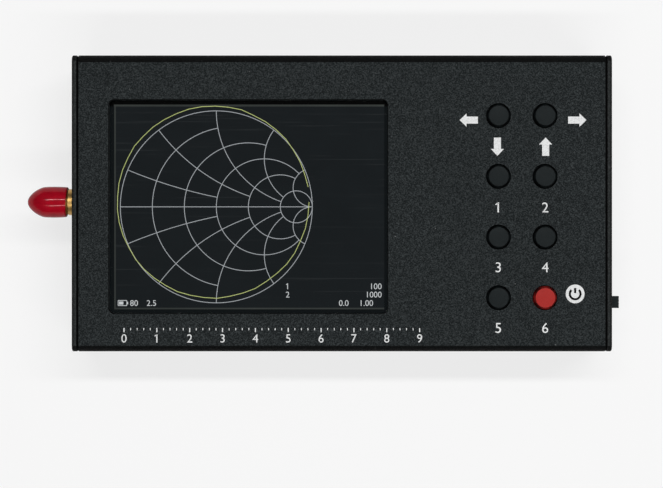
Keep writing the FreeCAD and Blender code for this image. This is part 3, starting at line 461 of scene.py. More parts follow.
def rounded_corners(tree, given):
    """A mask over rounded corners, where the surface looks along no axis; the finishes paint shade there.
    """
    facing = node(tree, "VectorMath", {0: given["Normal"]}, operation="ABSOLUTE").outputs["Vector"]
    parts = split(tree, facing)
    most = maths(tree, "MAXIMUM", maths(tree, "MAXIMUM", parts[0], parts[1]), parts[2])
    return spread(tree, most, given["Start"], given["End"])


def smudges(tree, given):
    """Broad soft patches, for handling marks and uneven sheen."""
    scale = maths(tree, "DIVIDE", 1.0, given["Size"])
    patches = cloud(tree, given["Coordinates"], scale, 5.0, Roughness=0.65, Distortion=0.6)
    return spread(tree, patches, 0.3, 0.7)


def streaks(tree, given):
    """Fine streaks that run along X, for brushed metal and rubbed glass."""
    sizes = (given["Length"], given["Width"], given["Width"])
    parts = split(tree, given["Coordinates"])
    inputs = {axis: maths(tree, "DIVIDE", parts[axis], size) for axis, size in enumerate(sizes)}
    return cloud(tree, node(tree, "CombineXYZ", inputs).outputs[0], 1.0, 2.0)


def turning_marks(tree, given):
    """Fine rings round the X axis, as a lathe leaves them."""
    along = maths(tree, "DIVIDE", split(tree, given["Coordinates"])[0], given["Pitch"])
    return cloud(tree, node(tree, "CombineXYZ", {0: along}).outputs[0], 1.0, 1.0)


# What each group is worked out by, the vector that it reads, what it gives and its other inputs
SHARED_EFFECTS = {
    "Fine Grain": (fine_grain, "Coordinates", "Grain", {"Size": 0.0003}),
    "Stray Specks": (stray_specks, "Coordinates", "Mask", {"Spacing": 0.002, "Share": 0.1, "Radius": 0.05}),
    "Edge Wear": (edge_wear, "Coordinates", "Mask", {"Width": 0.0001, "Patch": 0.001, "Amount": 0.5}),
    "Rounded Corners": (rounded_corners, "Normal", "Mask", {"Start": 0.997, "End": 0.985}),
    "Smudges": (smudges, "Coordinates", "Value", {"Size": 0.012}),
    "Streaks": (streaks, "Coordinates", "Value", {"Width": 0.0002, "Length": 0.02}),
    "Turning Marks": (turning_marks, "Coordinates", "Value", {"Pitch": 0.00008}),
}


def make_group(name):
    """Make the node group of one shared effect."""
    work_out, reads, gives, inputs = SHARED_EFFECTS[name]
    tree = bpy.data.node_groups.new(name, "ShaderNodeTree")
    tree.interface.new_socket(reads, in_out="INPUT", socket_type="NodeSocketVector")
    for label, default in inputs.items():
        socket = tree.interface.new_socket(label, in_out="INPUT", socket_type="NodeSocketFloat")
        socket.default_value = default
    tree.interface.new_socket(gives, in_out="OUTPUT", socket_type="NodeSocketFloat")
    given = tree.nodes.new("NodeGroupInput").outputs
    set_inputs(tree.nodes.new("NodeGroupOutput"), {0: work_out(tree, given)})
    return tree


def effect(tree, name, reads, **inputs):
    """Place one of the shared effects in a tree, fed with one vector, and return its output."""
    shared = bpy.data.node_groups.get(name) or make_group(name)
    return node(tree, "Group", {0: reads, **inputs}, node_tree=shared).outputs[0]


# Finishes: each gives the shader's inputs, from the object's coordinates and its own values


def painted_metal(tree, place, paint, light, worn, grain, wear, sheen, margin=None):
    """Blasted black finish: two-tone grain, uneven sheen, a few pale specks, faint painted glints, worn
    edges, and painted shade on rounded corners.

    A margin is the axis and the place past which the front face gets the same painted shade as its corners.
    """
    grains = effect(tree, "Fine Grain", place, Size=grain)
    patches = effect(tree, "Smudges", place, Size=14 * MM)
    specks = effect(tree, "Stray Specks", place, Spacing=3.2 * MM, Share=0.10, Radius=0.045)
    painted_glints = effect(tree, "Stray Specks", place, Spacing=1.3 * MM, Share=0.22, Radius=0.13)
    edges = effect(tree, "Edge Wear", place, Width=0.16 * MM, Patch=0.7 * MM, Amount=wear)
    normal = node(tree, "TexCoord").outputs["Normal"]
    # Painted shade: rounded corners, which look along no axis, are painted darker
    corners = effect(tree, "Rounded Corners", normal)
    # Painted shade: past the margin, the front face is painted as dark as the corners
    if margin:
        axis, start = margin
        away = split(tree, place)[axis]
        if axis == 0:
            away = maths(tree, "ABSOLUTE", away)
        past_shade_line = spread(tree, away, start, start + 0.12 * MM)
        front = spread(tree, split(tree, normal)[2], 0.90, 0.99)
        corners = maths(tree, "MAXIMUM", corners, maths(tree, "MULTIPLY", past_shade_line, front))
    toned = mix_colour(tree, grains, paint, light)
    # The paint scaled by CORNER_SHADE is the painted shade over corners and margin strip
    toned = mix_colour(tree, corners, toned, scaled(paint, CORNER_SHADE))
    # Pale specks are dust; the faint glints are painted highlights of bright grains
    specks_and_painted_glints = maths(tree, "MAXIMUM", maths(tree, "MULTIPLY", specks, 0.5),
                  maths(tree, "MULTIPLY", painted_glints, 0.06))
    dust_and_painted_glints = mix_colour(tree, specks_and_painted_glints, toned, (0.30, 0.31, 0.31))
    uneven = between(tree, patches, sheen, sheen + 0.06)
    return {
        "Base Color": mix_colour(tree, edges, dust_and_painted_glints, worn),
        "Roughness": maths(tree, "ADD", uneven, spread(tree, grains, 0.1, 0.9, 0.20, 0.0)),
        "Specular IOR Level": 0.10,
        "Normal": bump(tree, grains, 0.08 * MM),
    }


def moulded_plastic(tree, place, base, light, grain, rough, depth, specular=0.5,
                    rim_shade=None, rubbed=None):
    """Moulded plastic: fine grain, faint handling marks, and maybe painted shade on the rims and rubbed
    edges that also paint a rim highlight.
    """
    grains = effect(tree, "Fine Grain", place, Size=grain)
    patches = effect(tree, "Smudges", place, Size=5 * MM)
    toned = mix_colour(tree, spread(tree, grains, 0.3, 1.0), base, light)
    # Painted shade: rims that look along no axis take the base colour scaled by rim_shade
    if rim_shade:
        normal = node(tree, "TexCoord").outputs["Normal"]
        corners = effect(tree, "Rounded Corners", normal, Start=0.96, End=0.80)
        toned = mix_colour(tree, corners, toned, scaled(base, rim_shade))
    # Rubbed edges: a lighter line along sharp edges, partly wear and partly a painted highlight on the rim
    if rubbed:
        edges = effect(tree, "Edge Wear", place, Width=0.16 * MM, Patch=1.6 * MM, Amount=0.75)
        toned = mix_colour(tree, edges, toned, rubbed)
    return {
        "Base Color": toned,
        "Roughness": between(tree, patches, rough, rough + 0.08),
        "Specular IOR Level": specular,
        "Normal": bump(tree, grains, depth),
    }


def plated_metal(tree, place, base, dull, rough, marks):
    """Plated metal with lathe or rolling marks and slightly dulled patches."""
    patches = effect(tree, "Smudges", place, Size=2.5 * MM)
    return {
        "Base Color": mix_colour(tree, patches, base, dull),
        "Roughness": between(tree, patches, rough, rough + 0.12),
        "Metallic": 1.0,
        "Normal": bump(tree, effect(tree, marks, place), 0.004 * MM),
    }


def soft_vinyl(tree, place, vinyl):
    """Glossy soft vinyl with faint flow marks along its length."""
    flow = effect(tree, "Streaks", place, Width=0.9 * MM, Length=5 * MM)
    patches = effect(tree, "Smudges", place, Size=3 * MM)
    return {
        "Base Color": mix_colour(tree, patches, vinyl, scaled(vinyl, 0.72)),
        "Roughness": between(tree, patches, 0.30, 0.40),
        "Specular IOR Level": 0.03,
        "Coat Weight": 0.30,
        "Coat Roughness": 0.08,
        "Normal": bump(tree, flow, 0.03 * MM),
    }


def amber_film(tree, place):
    """Polyimide film with copper lines that show through it along its length."""
    lines = effect(tree, "Streaks", place, Width=0.3 * MM, Length=60 * MM)
    shade = spread(tree, lines, 0.45, 0.55)
    return {
        "Base Color": mix_colour(tree, shade, (0.24, 0.085, 0.012), (0.36, 0.16, 0.035)),
        "Roughness": spread(tree, lines, 0.3, 0.7, 0.28, 0.38),
    }


def closed_foam(tree, place):
    """Closed-cell foam."""
    cells = node(tree, "TexVoronoi", {"Vector": place, "Scale": 1 / (0.22 * MM)}).outputs["Distance"]
    return {
        "Base Color": mix_colour(tree, cells, (0.004, 0.004, 0.0045), (0.014, 0.014, 0.015)),
        "Roughness": between(tree, cells, 0.84, 0.98),
        "Normal": bump(tree, cells, 0.03 * MM),
    }


def dull_rubber(tree, place, seal):
    """Dull black rubber, also used for the dark strips of painted shade in the end plates' gaps."""
    grains = effect(tree, "Fine Grain", place, Size=0.25 * MM)
    return {
        "Base Color": mix_colour(tree, grains, seal, scaled(seal, 2.2)),
        "Roughness": between(tree, grains, 0.80, 0.92),
        "Specular IOR Level": 0.03,
        "Normal": bump(tree, grains, 0.01 * MM),
    }


def solder_mask(tree, place):
    """Solder mask over copper tracks."""
    tracks = effect(tree, "Streaks", place, Width=0.5 * MM, Length=12 * MM)
    grains = effect(tree, "Fine Grain", place, Size=0.4 * MM)
    shade = spread(tree, tracks, 0.48, 0.54)
    return {
        "Base Color": mix_colour(tree, shade, (0.006, 0.055, 0.022), (0.016, 0.110, 0.045)),
        "Roughness": between(tree, grains, 0.28, 0.38),
        "Normal": bump(tree, shade, 0.02 * MM),
    }


def touch_film(tree, place):
    """Clear touch film with faint rubbed streaks in its gloss."""
    rubbed = effect(tree, "Streaks", place, Width=0.35 * MM, Length=26 * MM)
    patches = effect(tree, "Smudges", place, Size=9 * MM)
    streaked = spread(tree, rubbed, 0.62, 0.75, 0.03, 0.16)
    return {
        "Base Color": mix_colour(tree, patches, (0.93, 0.95, 0.955), (0.90, 0.92, 0.93)),
        "Roughness": maths(tree, "ADD", streaked, maths(tree, "MULTIPLY", patches, 0.03)),
        "Transmission Weight": 1.0,
        "IOR": 1.49,
    }


def picture_centre():
    """The middle of the display's picture, on top of the display."""
    window = middle("display_gasket")
    offset = bpy.context.scene.analyzer_screen.active_shift
    return Vector((window.x + offset, window.y, high("display_cell").z))


def display_picture(tree, place, screen):
    """The display: a dark lit picture inside a pale hairline, and a black border round both, with a painted
    shadow along the border's top.
    """
    centre = picture_centre()
    half_x, half_y = screen.active_size_x / 2, screen.active_size_y / 2
    parts = split(tree, place)
    off_x = maths(tree, "SUBTRACT", parts[0], centre.x)
    off_y = maths(tree, "SUBTRACT", parts[1], centre.y)
    from_x = maths(tree, "MAXIMUM", off_x, maths(tree, "SUBTRACT", -0.22 * MM, off_x))
    from_y = maths(tree, "MAXIMUM", off_y, maths(tree, "SUBTRACT", -0.14 * MM, off_y))
    outside = maths(tree, "MAXIMUM", maths(tree, "SUBTRACT", from_x, half_x),
                    maths(tree, "SUBTRACT", from_y, half_y))
    picture = maths(tree, "LESS_THAN", outside, 0.0)
    right = maths(tree, "GREATER_THAN", off_x, half_x)
    above = maths(tree, "GREATER_THAN", off_y, half_y)
    past = maths(tree, "SUBTRACT", outside, maths(tree, "MULTIPLY", above, 0.10 * MM))
    rim = maths(tree, "MAXIMUM", right, maths(tree, "GREATER_THAN", past, 0.38 * MM))
    rubbed = effect(tree, "Streaks", place, Width=0.4 * MM, Length=30 * MM)
    clouds = effect(tree, "Smudges", place, Size=16 * MM)
    glow = mix_colour(tree, clouds, screen.picture, scaled(screen.picture, 1.18))
    scuffs = maths(tree, "MULTIPLY", spread(tree, rubbed, 0.66, 0.76), 0.30)
    scuffed = mix_colour(tree, scuffs, glow, (0.045, 0.050, 0.052))
    hairline = mix_colour(tree, clouds, (0.030, 0.034, 0.032), (0.042, 0.047, 0.044))
    # Painted shadow: the border is darker above the picture, where the window's upper edge casts shade
    border = mix_colour(tree, above, (0.0042, 0.0058, 0.0066), (0.0003, 0.0004, 0.0004))
    lined = mix_colour(tree, rim, hairline, border)
    return {
        "Base Color": mix_colour(tree, clouds, (0.0020, 0.0022, 0.0024), (0.0030, 0.0033, 0.0036)),
        "Roughness": between(tree, clouds, 0.30, 0.40),
        "Emission Color": mix_colour(tree, picture, lined, scuffed),
        "Emission Strength": 1.0,
        "Specular IOR Level": 0.1,
    }


def pixel_light(tree, place, shade):
    """Light of one colour from the display, uneven as its pixels are."""
    pixels = effect(tree, "Fine Grain", place, Size=0.2 * MM)
    return {
        "Base Color": mix_colour(tree, pixels, (0.004, 0.004, 0.004), (0.006, 0.006, 0.006)),
        "Roughness": between(tree, pixels, 0.5, 0.6),
        "Emission Color": mix_colour(tree, pixels, scaled(shade, 0.86), shade),
        "Emission Strength": 1.0,
        "Specular IOR Level": 0.1,
    }


def printed_ink(tree, place, ink, grain):
    """White screen-printed ink over the blasted grain."""
    grains = effect(tree, "Fine Grain", place, Size=grain)
    return {
        "Base Color": mix_colour(tree, spread(tree, grains, 0.0, 0.5), scaled(ink, 0.80), ink),
        "Roughness": between(tree, grains, 0.45, 0.60),
        "Normal": bump(tree, grains, 0.008 * MM),
    }


def floor_card(tree, place, shade):
    """Plain matt card."""
    patches = effect(tree, "Smudges", place, Size=400 * MM)
    return {
        "Base Color": mix_colour(tree, patches, shade, scaled(shade, 0.99)),
        "Roughness": 0.9,
        "Specular IOR Level": 0.1,
    }


def finish_recipes():
    """For each finish, the function that works it out and the values that it takes."""
    scene = bpy.context.scene
    case, keys, screen = scene.analyzer_case, scene.analyzer_keys, scene.analyzer_screen
    gold = scene.analyzer_socket.gold
    return {
        # The last value of case_black and plate_black places a strip of painted shade: along the face's top
        # edge, and along the plates' outer edges
        "case_black": (painted_metal, case.paint, case.paint_light, case.worn, case.grain,
                       case.wear * 0.4, 0.47, (1, high("front_shell").y - 1.84 * MM)),
        "plate_black": (painted_metal, case.plate_paint, case.plate_light, case.worn, case.grain * 1.1,
                        case.wear, 0.46, (0, high("right_end_plate").x - 0.46 * MM)),
        "screw_black": (painted_metal, (0.010, 0.010, 0.011), (0.022, 0.022, 0.024), (0.20, 0.20, 0.19),
                        0.12 * MM, 0.45, 0.32),
        # On the keys, CORNER_SHADE paints shade on the steep rims, and keys.rubbed partly paints a
        # highlight on them
        "key_black": (moulded_plastic, keys.plastic, scaled(keys.plastic, 1.9),
                      0.16 * MM, 0.50, 0.006 * MM, 0.11, CORNER_SHADE, keys.rubbed),
        "key_red": (moulded_plastic, keys.power_plastic, scaled(keys.power_plastic, 1.25),
                    0.16 * MM, 0.50, 0.006 * MM, 0.2, CORNER_SHADE),
        "insulator_white": (moulded_plastic, (0.80, 0.80, 0.77), (0.86, 0.86, 0.84),
                            0.10 * MM, 0.38, 0.003 * MM),
        "white_plastic": (moulded_plastic, (0.74, 0.74, 0.71), (0.80, 0.80, 0.78),
                          0.20 * MM, 0.45, 0.005 * MM),
        "socket_plastic": (moulded_plastic, (0.06, 0.055, 0.045), (0.10, 0.09, 0.075),
                           0.15 * MM, 0.45, 0.004 * MM),
        "chip_black": (moulded_plastic, (0.012, 0.012, 0.013), (0.028, 0.028, 0.029),
                       0.12 * MM, 0.52, 0.006 * MM),
        "lead_red": (moulded_plastic, (0.42, 0.012, 0.010), (0.50, 0.03, 0.025),
                     0.25 * MM, 0.36, 0.004 * MM),
        "gold_plate": (plated_metal, gold, scaled(gold, 0.80), 0.36, "Turning Marks"),
        "tinned_steel": (plated_metal, (0.62, 0.61, 0.58), (0.46, 0.455, 0.44), 0.26, "Streaks"),
        "battery_foil": (plated_metal, (0.66, 0.67, 0.68), (0.56, 0.57, 0.59), 0.34, "Streaks"),
        "cap_red": (soft_vinyl, scene.analyzer_cap.vinyl),
        "flex_amber": (amber_film,),
        "gasket_foam": (closed_foam,),
        "seal_rubber": (dull_rubber, case.seal),
        "board_green": (solder_mask,),
        "touch_glass": (touch_film,),
        "display_glass": (display_picture, screen),
        "chart_grid": (pixel_light, screen.grid),
        "chart_trace": (pixel_light, screen.trace),
        "chart_figures": (pixel_light, (0.62, 0.64, 0.65)),
        "ink": (printed_ink, scene.analyzer_print.ink, case.grain),
    }


def make_material(name, work_out, *values):
    """Make a material whose shader gets the inputs that a finish gives."""
    material = bpy.data.materials.new(name)
    material.use_nodes = True
    tree = material.node_tree
    tree.nodes.clear()
    place = node(tree, "TexCoord").outputs["Object"]
    shader = node(tree, "BsdfPrincipled", work_out(tree, place, *values))
    node(tree, "OutputMaterial", {"Surface": shader.outputs[0]})
    return material


MADE_FINISHES = {}


def finish(name):
    """The material of one finish, made the first time that it is asked for."""
    if name not in MADE_FINISHES:
        MADE_FINISHES[name] = make_material(name, *finish_recipes()[name])
    return MADE_FINISHES[name]


# Operators


class ANALYZER_OT_finishes(bpy.types.Operator):
    """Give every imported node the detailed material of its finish"""

    bl_idname = "analyzer.finishes"
    bl_label = "Finishes"

    def execute(self, context):
        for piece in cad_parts.values():
            for place in piece.material_slots:
                place.material = finish(place.material.name.split(".")[0])
        return {"FINISHED"}


class ANALYZER_OT_keys(bpy.types.Operator):
    """Build the eight key caps with their rounded rims"""

    bl_idname = "analyzer.keys"
    bl_label = "Keys"

    lip = 0.83 * MM
    flange_height = 0.7 * MM
    socket = 1.8 * MM
    rim_edge = 0.09 * MM
    wall_edge = 0.12 * MM
    steps = 72

    def execute(self, context):
        for name in KEY_NAMES:
            self.make_key(context.scene.analyzer_keys, name)
        return {"FINISHED"}

    def make_key(self, keys, name):
        """One key cap, with the flange that holds it in and the socket for its plunger."""
        cap = name + "_cap"
        top, bottom = high(cap).z, low(cap).z
        flange = (high(cap).x - low(cap).x) / 2
        radius = flange - self.lip
        flange_top = bottom + self.flange_height
        socket_top = high(name + "_plunger").z
        disc = radius - keys.rim
        wall_top, disc_top = top - keys.rim_depth, top - keys.crown
        bm = bmesh.new()
        turn_chain(bm, [(0, socket_top), (self.socket, socket_top), (self.socket, bottom), (flange, bottom),
                        (flange, flange_top), (radius, flange_top), (radius, wall_top), (disc, disc_top),
                        (disc / 2, top - keys.crown / 4), (0, top)], self.steps)
        soften(bm, ring_edges(bm, disc, disc_top), self.rim_edge, 3)
        soften(bm, ring_edges(bm, radius, wall_top), self.wall_edge, 3)
        shift(bm, (middle(cap).x, middle(cap).y, 0))
        look = "key_red" if name == "key_power" else "key_black"
        make_piece(bm, name + "_button", name, look, cap)


class ANALYZER_OT_dust_cap(bpy.types.Operator):
    """Build the soft cap on the radio socket"""

    bl_idname = "analyzer.dust_cap"
    bl_label = "Dust Cap"

    bore = 3.23 * MM
    nose = 4.1 * MM
    rim_slant = 0.05
    nose_profile = ((0.22, 0.012), (0.52, 0.20), (0.80, 0.52), (0.955, 0.82))

    def execute(self, context):
        belly = context.scene.analyzer_cap.belly
        whole = high("dust_cap").x - low("dust_cap").x
        outer = (high("dust_cap").y - low("dust_cap").y) / 2 - 0.72 * belly
        bore, shoulder = self.bore, whole - self.nose
        depth = high("dust_cap").x - low("socket_body").x + 0.05 * MM
        nose = [(across * outer, whole - along * self.nose) for across, along in self.nose_profile]
        bm = bmesh.new()
        turn_chain(bm, [(0, whole), *nose, (outer + belly / 2, shoulder), (outer + belly, shoulder / 2),
                        (outer, 0.35 * MM), (outer - 0.06 * MM, 0.08 * MM), (outer - 0.16 * MM, 0),
                        (bore + 0.08 * MM, 0), (bore, 0.10 * MM), (bore, depth / 2), (bore, depth),
                        (0, depth)])
        turn_about_y(bm, -math.pi / 2)
        rim = [vert for vert in bm.verts if vert.co.x > -0.4 * MM]
        bmesh.ops.transform(bm, matrix=Matrix.Shear("XZ", 4, (self.rim_slant, 0)), verts=rim)
        shift(bm, SOCKET_AXIS + Vector((high("dust_cap").x, 0, 0)))
        piece = make_piece(bm, "soft_cap", "cap", "cap_red", "dust_cap")
        smooth = piece.modifiers.new("smooth", "SUBSURF")
        smooth.levels = smooth.render_levels = 2
        return {"FINISHED"}


def chart_point(resistance, reactance):
    """Where an impedance lies on a chart whose outer circle has a radius of 1."""
    impedance = complex(resistance, reactance)
    return (impedance - 1) / (impedance + 1)


class ANALYZER_OT_chart(bpy.types.Operator):
    """Draw the impedance chart, its trace and a few small figures on the display"""

    bl_idname = "analyzer.chart"
    bl_label = "Chart"

    # The value that each line stands for, and the value of the other kind where it stops
    lines = ((0.2, 1), (0.5, 2), (1, 5), (2, 5), (5, 1e9))
    trace_shift = Vector((-0.78, 1.15, 0)) * MM
    trace_from = math.radians(9)
    trace_sweep = math.radians(351)
    figures = (("1", 9.0, 5.05), ("2", 9.0, 3.05), ("100", 30.5, 5.05), ("1000", 30.0, 3.05),
               ("0.0", 22.6, 1.0), ("1.00", 28.2, 1.0), ("80", -28.2, 1.0), ("2.5", -24.0, 1.0))
    cell = Vector((-31.0, 1.0, 0)) * MM
    cell_half = Vector((1.05, 0.62, 0)) * MM
    cell_line = 0.16 * MM

    def execute(self, context):
        screen = context.scene.analyzer_screen
        picture = picture_centre() + Vector((0, 0, screen.lift))
        centre = picture - Vector((screen.chart_shift, 0, 0))
        self.make_grid(screen, centre)
        self.make_trace(screen, centre + self.trace_shift + Vector((0, 0, screen.lift)))
        self.make_figures(screen, picture - Vector((0, screen.active_size_y / 2, 0)))
        return {"FINISHED"}

    def make_grid(self, screen, centre):
        """The outer circle, the middle line and the lines of both kinds."""
        size, line = screen.chart_radius, screen.line
        bm = bmesh.new()
        add_arc(bm, centre, size, 0, FULL_TURN, line, 160)
        add_strip(bm, centre - Vector((size, 0, 0)), centre + Vector((size, 0, 0)), line)
        for resistance, stop in self.lines:
            heart = complex(resistance / (1 + resistance), 0)
            start = cmath.phase(chart_point(resistance, stop) - heart)
            add_arc(bm, centre + Vector((heart.real, 0, 0)) * size, size / (1 + resistance),
                    start, FULL_TURN - 2 * start, line, 90)
        for reactance, stop in self.lines:
            for side in (1, -1):
                heart = complex(1, side / reactance)
                first = chart_point(0, side * reactance) - heart
                last = chart_point(stop, side * reactance) - heart
                add_arc(bm, centre + Vector((heart.real, heart.imag, 0)) * size, size / reactance,
                        cmath.phase(first), cmath.phase(last / first), line, 40)
        make_piece(bm, "chart_grid", "case", "chart_grid", flat=True)

    def make_trace(self, screen, centre):
        """An open circle that wanders a little."""
        bm = bmesh.new()
        add_arc(bm, centre, screen.chart_radius, self.trace_from, self.trace_sweep, screen.line, 44)
        for vert in bm.verts:
            out = (vert.co - centre).normalized()
            vert.co += out * screen.jitter * noise.noise(out * 9)
        make_piece(bm, "chart_trace", "case", "chart_trace", flat=True)

    def make_figures(self, screen, corner):
        """The figures, and a small battery sign in the lower left corner."""
        bm = bmesh.new()
        for words, x, y in self.figures:
            add_text(bm, words, screen.figure_height, corner + Vector((x, y, 0)) * MM)
        cell, half = corner + self.cell, self.cell_half
        corners = [cell + Vector((half.x * x, half.y * y, 0))
                   for x, y in ((-1, -1), (1, -1), (1, 1), (-1, 1))]
        for start, end in zip(corners, corners[1:] + corners[:1]):
            add_strip(bm, start, end, self.cell_line)
        for start, end, width in ((-0.8, 0.2, 1.2), (1.0, 1.3, 1.0)):
            left, right = (cell + Vector((half.x * x, 0, 0)) for x in (start, end))
            add_strip(bm, left, right, half.y * width)
        make_piece(bm, "chart_figures", "case", "chart_figures", flat=True)


class ANALYZER_OT_legends(bpy.types.Operator):
    """Print the arrows, the numbers, the power mark and a plain scale on the front"""

    bl_idname = "analyzer.legends"
    bl_label = "Legends"

    arrows = ((math.pi, 30.5, 20.0), (0, 56.6, 20.0), (-math.pi / 2, 37.4, 13.6), (math.pi / 2, 49.0, 13.6))
    numbers = (("1", 37.6, -1.0), ("2", 48.9, -1.0), ("3", 37.6, -15.4), ("4", 48.9, -15.4),
               ("5", 37.6, -30.0), ("6", 48.9, -30.0))
    mark = (56.1, -21.8)
    mark_from = math.radians(134)
    mark_sweep = math.radians(272)
    stem = (0.20 * MM, 1.42 * MM)
    scale_from = -52.4
    scale_step = 7.9
    scale_top = -30.0
    scale_figures_at = -32.5
    scale_figures = 10
    scale_parts = 5

    def execute(self, context):
        ink = context.scene.analyzer_print
        film = Vector((0, 0, FACE_Z + ink.film))
        bm = bmesh.new()
        for turn, x, y in self.arrows:
            add_arrow(bm, Vector((x, y, 0)) * MM + film, turn, ink.arrow_length, ink.arrow_width)
        for words, x, y in self.numbers:
            add_text(bm, words, ink.figure_height, Vector((x, y, 0)) * MM + film)
        mark = Vector((*self.mark, 0)) * MM + film
        bmesh.ops.create_circle(bm, cap_ends=True, radius=ink.mark_radius, segments=64,
                                matrix=Matrix.Translation(mark))
        self.add_scale(bm, ink, film)
        make_piece(bm, "legends", "case", "ink", flat=True)
        mark.z += ink.film
        foot, head = (mark + Vector((0, up, 0)) for up in self.stem)
        bm = bmesh.new()
        add_arc(bm, mark, ink.mark_radius * 0.57, self.mark_from, self.mark_sweep, ink.mark_line, 48)
        add_strip(bm, foot, head, ink.mark_line)
        make_piece(bm, "power_mark", "case", "seal_rubber", flat=True)
        return {"FINISHED"}

    def add_scale(self, bm, ink, film):
        """A row of long and short lines, with a figure under each long one."""
        for step in range((self.scale_figures - 1) * self.scale_parts + 1):
            figure, part = divmod(step, self.scale_parts)
            drop, line = (0.55, 0.18) if part else (1.0, 0.26)
            x = self.scale_from + step * self.scale_step / self.scale_parts
            top = Vector((x, self.scale_top, 0)) * MM + film
            add_strip(bm, top, top - Vector((0, drop * MM, 0)), line * MM)
            if not part:
                below = Vector((x, self.scale_figures_at, 0)) * MM + film
                add_text(bm, str(figure), ink.scale_height, below)


class ANALYZER_OT_seals(bpy.types.Operator):
    """Lay a thin dark strip in the step between each end plate and the case, as painted shade for the gap
    """

    bl_idname = "analyzer.seals"
    bl_label = "Gap Shade Strips"

    width = 0.44 * MM
    depth = 0.58 * MM
    corner = 1.35 * MM

    def execute(self, context):
        inset = context.scene.analyzer_case.seal_inset
        for side, edge, inward in (("left", high("left_end_plate").x, -self.width),
                                   ("right", low("right_end_plate").x, self.width)):
            lowest, highest = low(side + "_end_plate"), high(side + "_end_plate")
            x0, x1 = sorted((edge, edge + inward))
            bm = bmesh.new()
            block = add_block(bm, Vector((x0, lowest.y + inset, lowest.z + inset)),
                              Vector((x1, highest.y - inset, highest.z - inset)))
            soften(bm, edges_along(block, 0), self.corner, 8)
            bm.normal_update()
            ends = [face for face in bm.faces if abs(face.normal.x) > 0.9]
            bmesh.ops.delete(bm, geom=ends, context="FACES")
            bmesh.ops.solidify(bm, geom=bm.faces[:], thickness=self.depth - inset)
            # The strip is painted shade: a dark sheet where the gap is only in shade
            make_piece(bm, side + "_seal", "case", "seal_rubber")
        return {"FINISHED"}


class ANALYZER_OT_screws(bpy.types.Operator):
    """Build the countersunk screws of both end plates"""

    bl_idname = "analyzer.screws"
    bl_label = "End Screws"

    head = 2.75 * MM
    shank = 1.5 * MM
    length = 8.0 * MM
    lead = 0.3 * MM
    rim = 0.12 * MM
    mouth_margin = 0.25 * MM
    mouth_edge = 0.08 * MM
    tip_depth = 0.35 * MM
    from_side = 3.95 * MM
    from_face = 4.2 * MM

    def execute(self, context):
        fittings = context.scene.analyzer_fittings
        for side, turn, end in (("left", -math.pi / 2, low("left_end_plate").x),
                                ("right", math.pi / 2, high("right_end_plate").x)):
            bm = bmesh.new()
            self.add_screw(bm, fittings)
            turn_about_y(bm, turn)
            shift(bm, (end, low(side + "_end_plate").y + self.from_side, self.from_face))
            for mirror_at, mirror in ((0, (1, -1, 1)), (FACE_Z / 2, (1, 1, -1))):
                copied = bmesh.ops.duplicate(bm, geom=bm.verts[:] + bm.edges[:] + bm.faces[:])["geom"]
                bmesh.ops.scale(bm, vec=mirror, verts=verts_in(copied),
                                space=Matrix.Translation((0, 0, -mirror_at)))
            make_piece(bm, side + "_screws", "case", "screw_black", side + "_plate_screws")
        return {"FINISHED"}

    def add_screw(self, bm, fittings):
        """One screw that points down, with its head's face at 0."""
        head, shank, foot, rim = self.head, self.shank, -self.length, self.rim
        corner = fittings.hex_size / math.sqrt(3)
        inner = corner + self.mouth_margin
        turn_chain(bm, [(inner, 0), (head - rim, 0), (head, -rim / 2), (head - 0.05 * MM, -rim),
                        (shank, shank - head), (shank, foot + self.lead), (shank - self.lead, foot),
                        (0, foot)])
        face_ring = ring_edges(bm, inner, 0)
        mouth = edges_of(bmesh.ops.create_circle(bm, radius=corner, segments=6)["verts"])
        bmesh.ops.triangle_fill(bm, use_beauty=True, edges=face_ring + mouth)
        floor = verts_in(bmesh.ops.extrude_edge_only(bm, edges=mouth)["geom"])
        bmesh.ops.translate(bm, vec=(0, 0, -fittings.hex_depth), verts=floor)
        bottom = bmesh.ops.contextual_create(bm, geom=edges_of(floor))["faces"]
        tip = bmesh.ops.poke(bm, faces=bottom)["verts"]
        bmesh.ops.translate(bm, vec=(0, 0, -self.tip_depth), verts=tip)
        soften(bm, mouth, self.mouth_edge, 2)


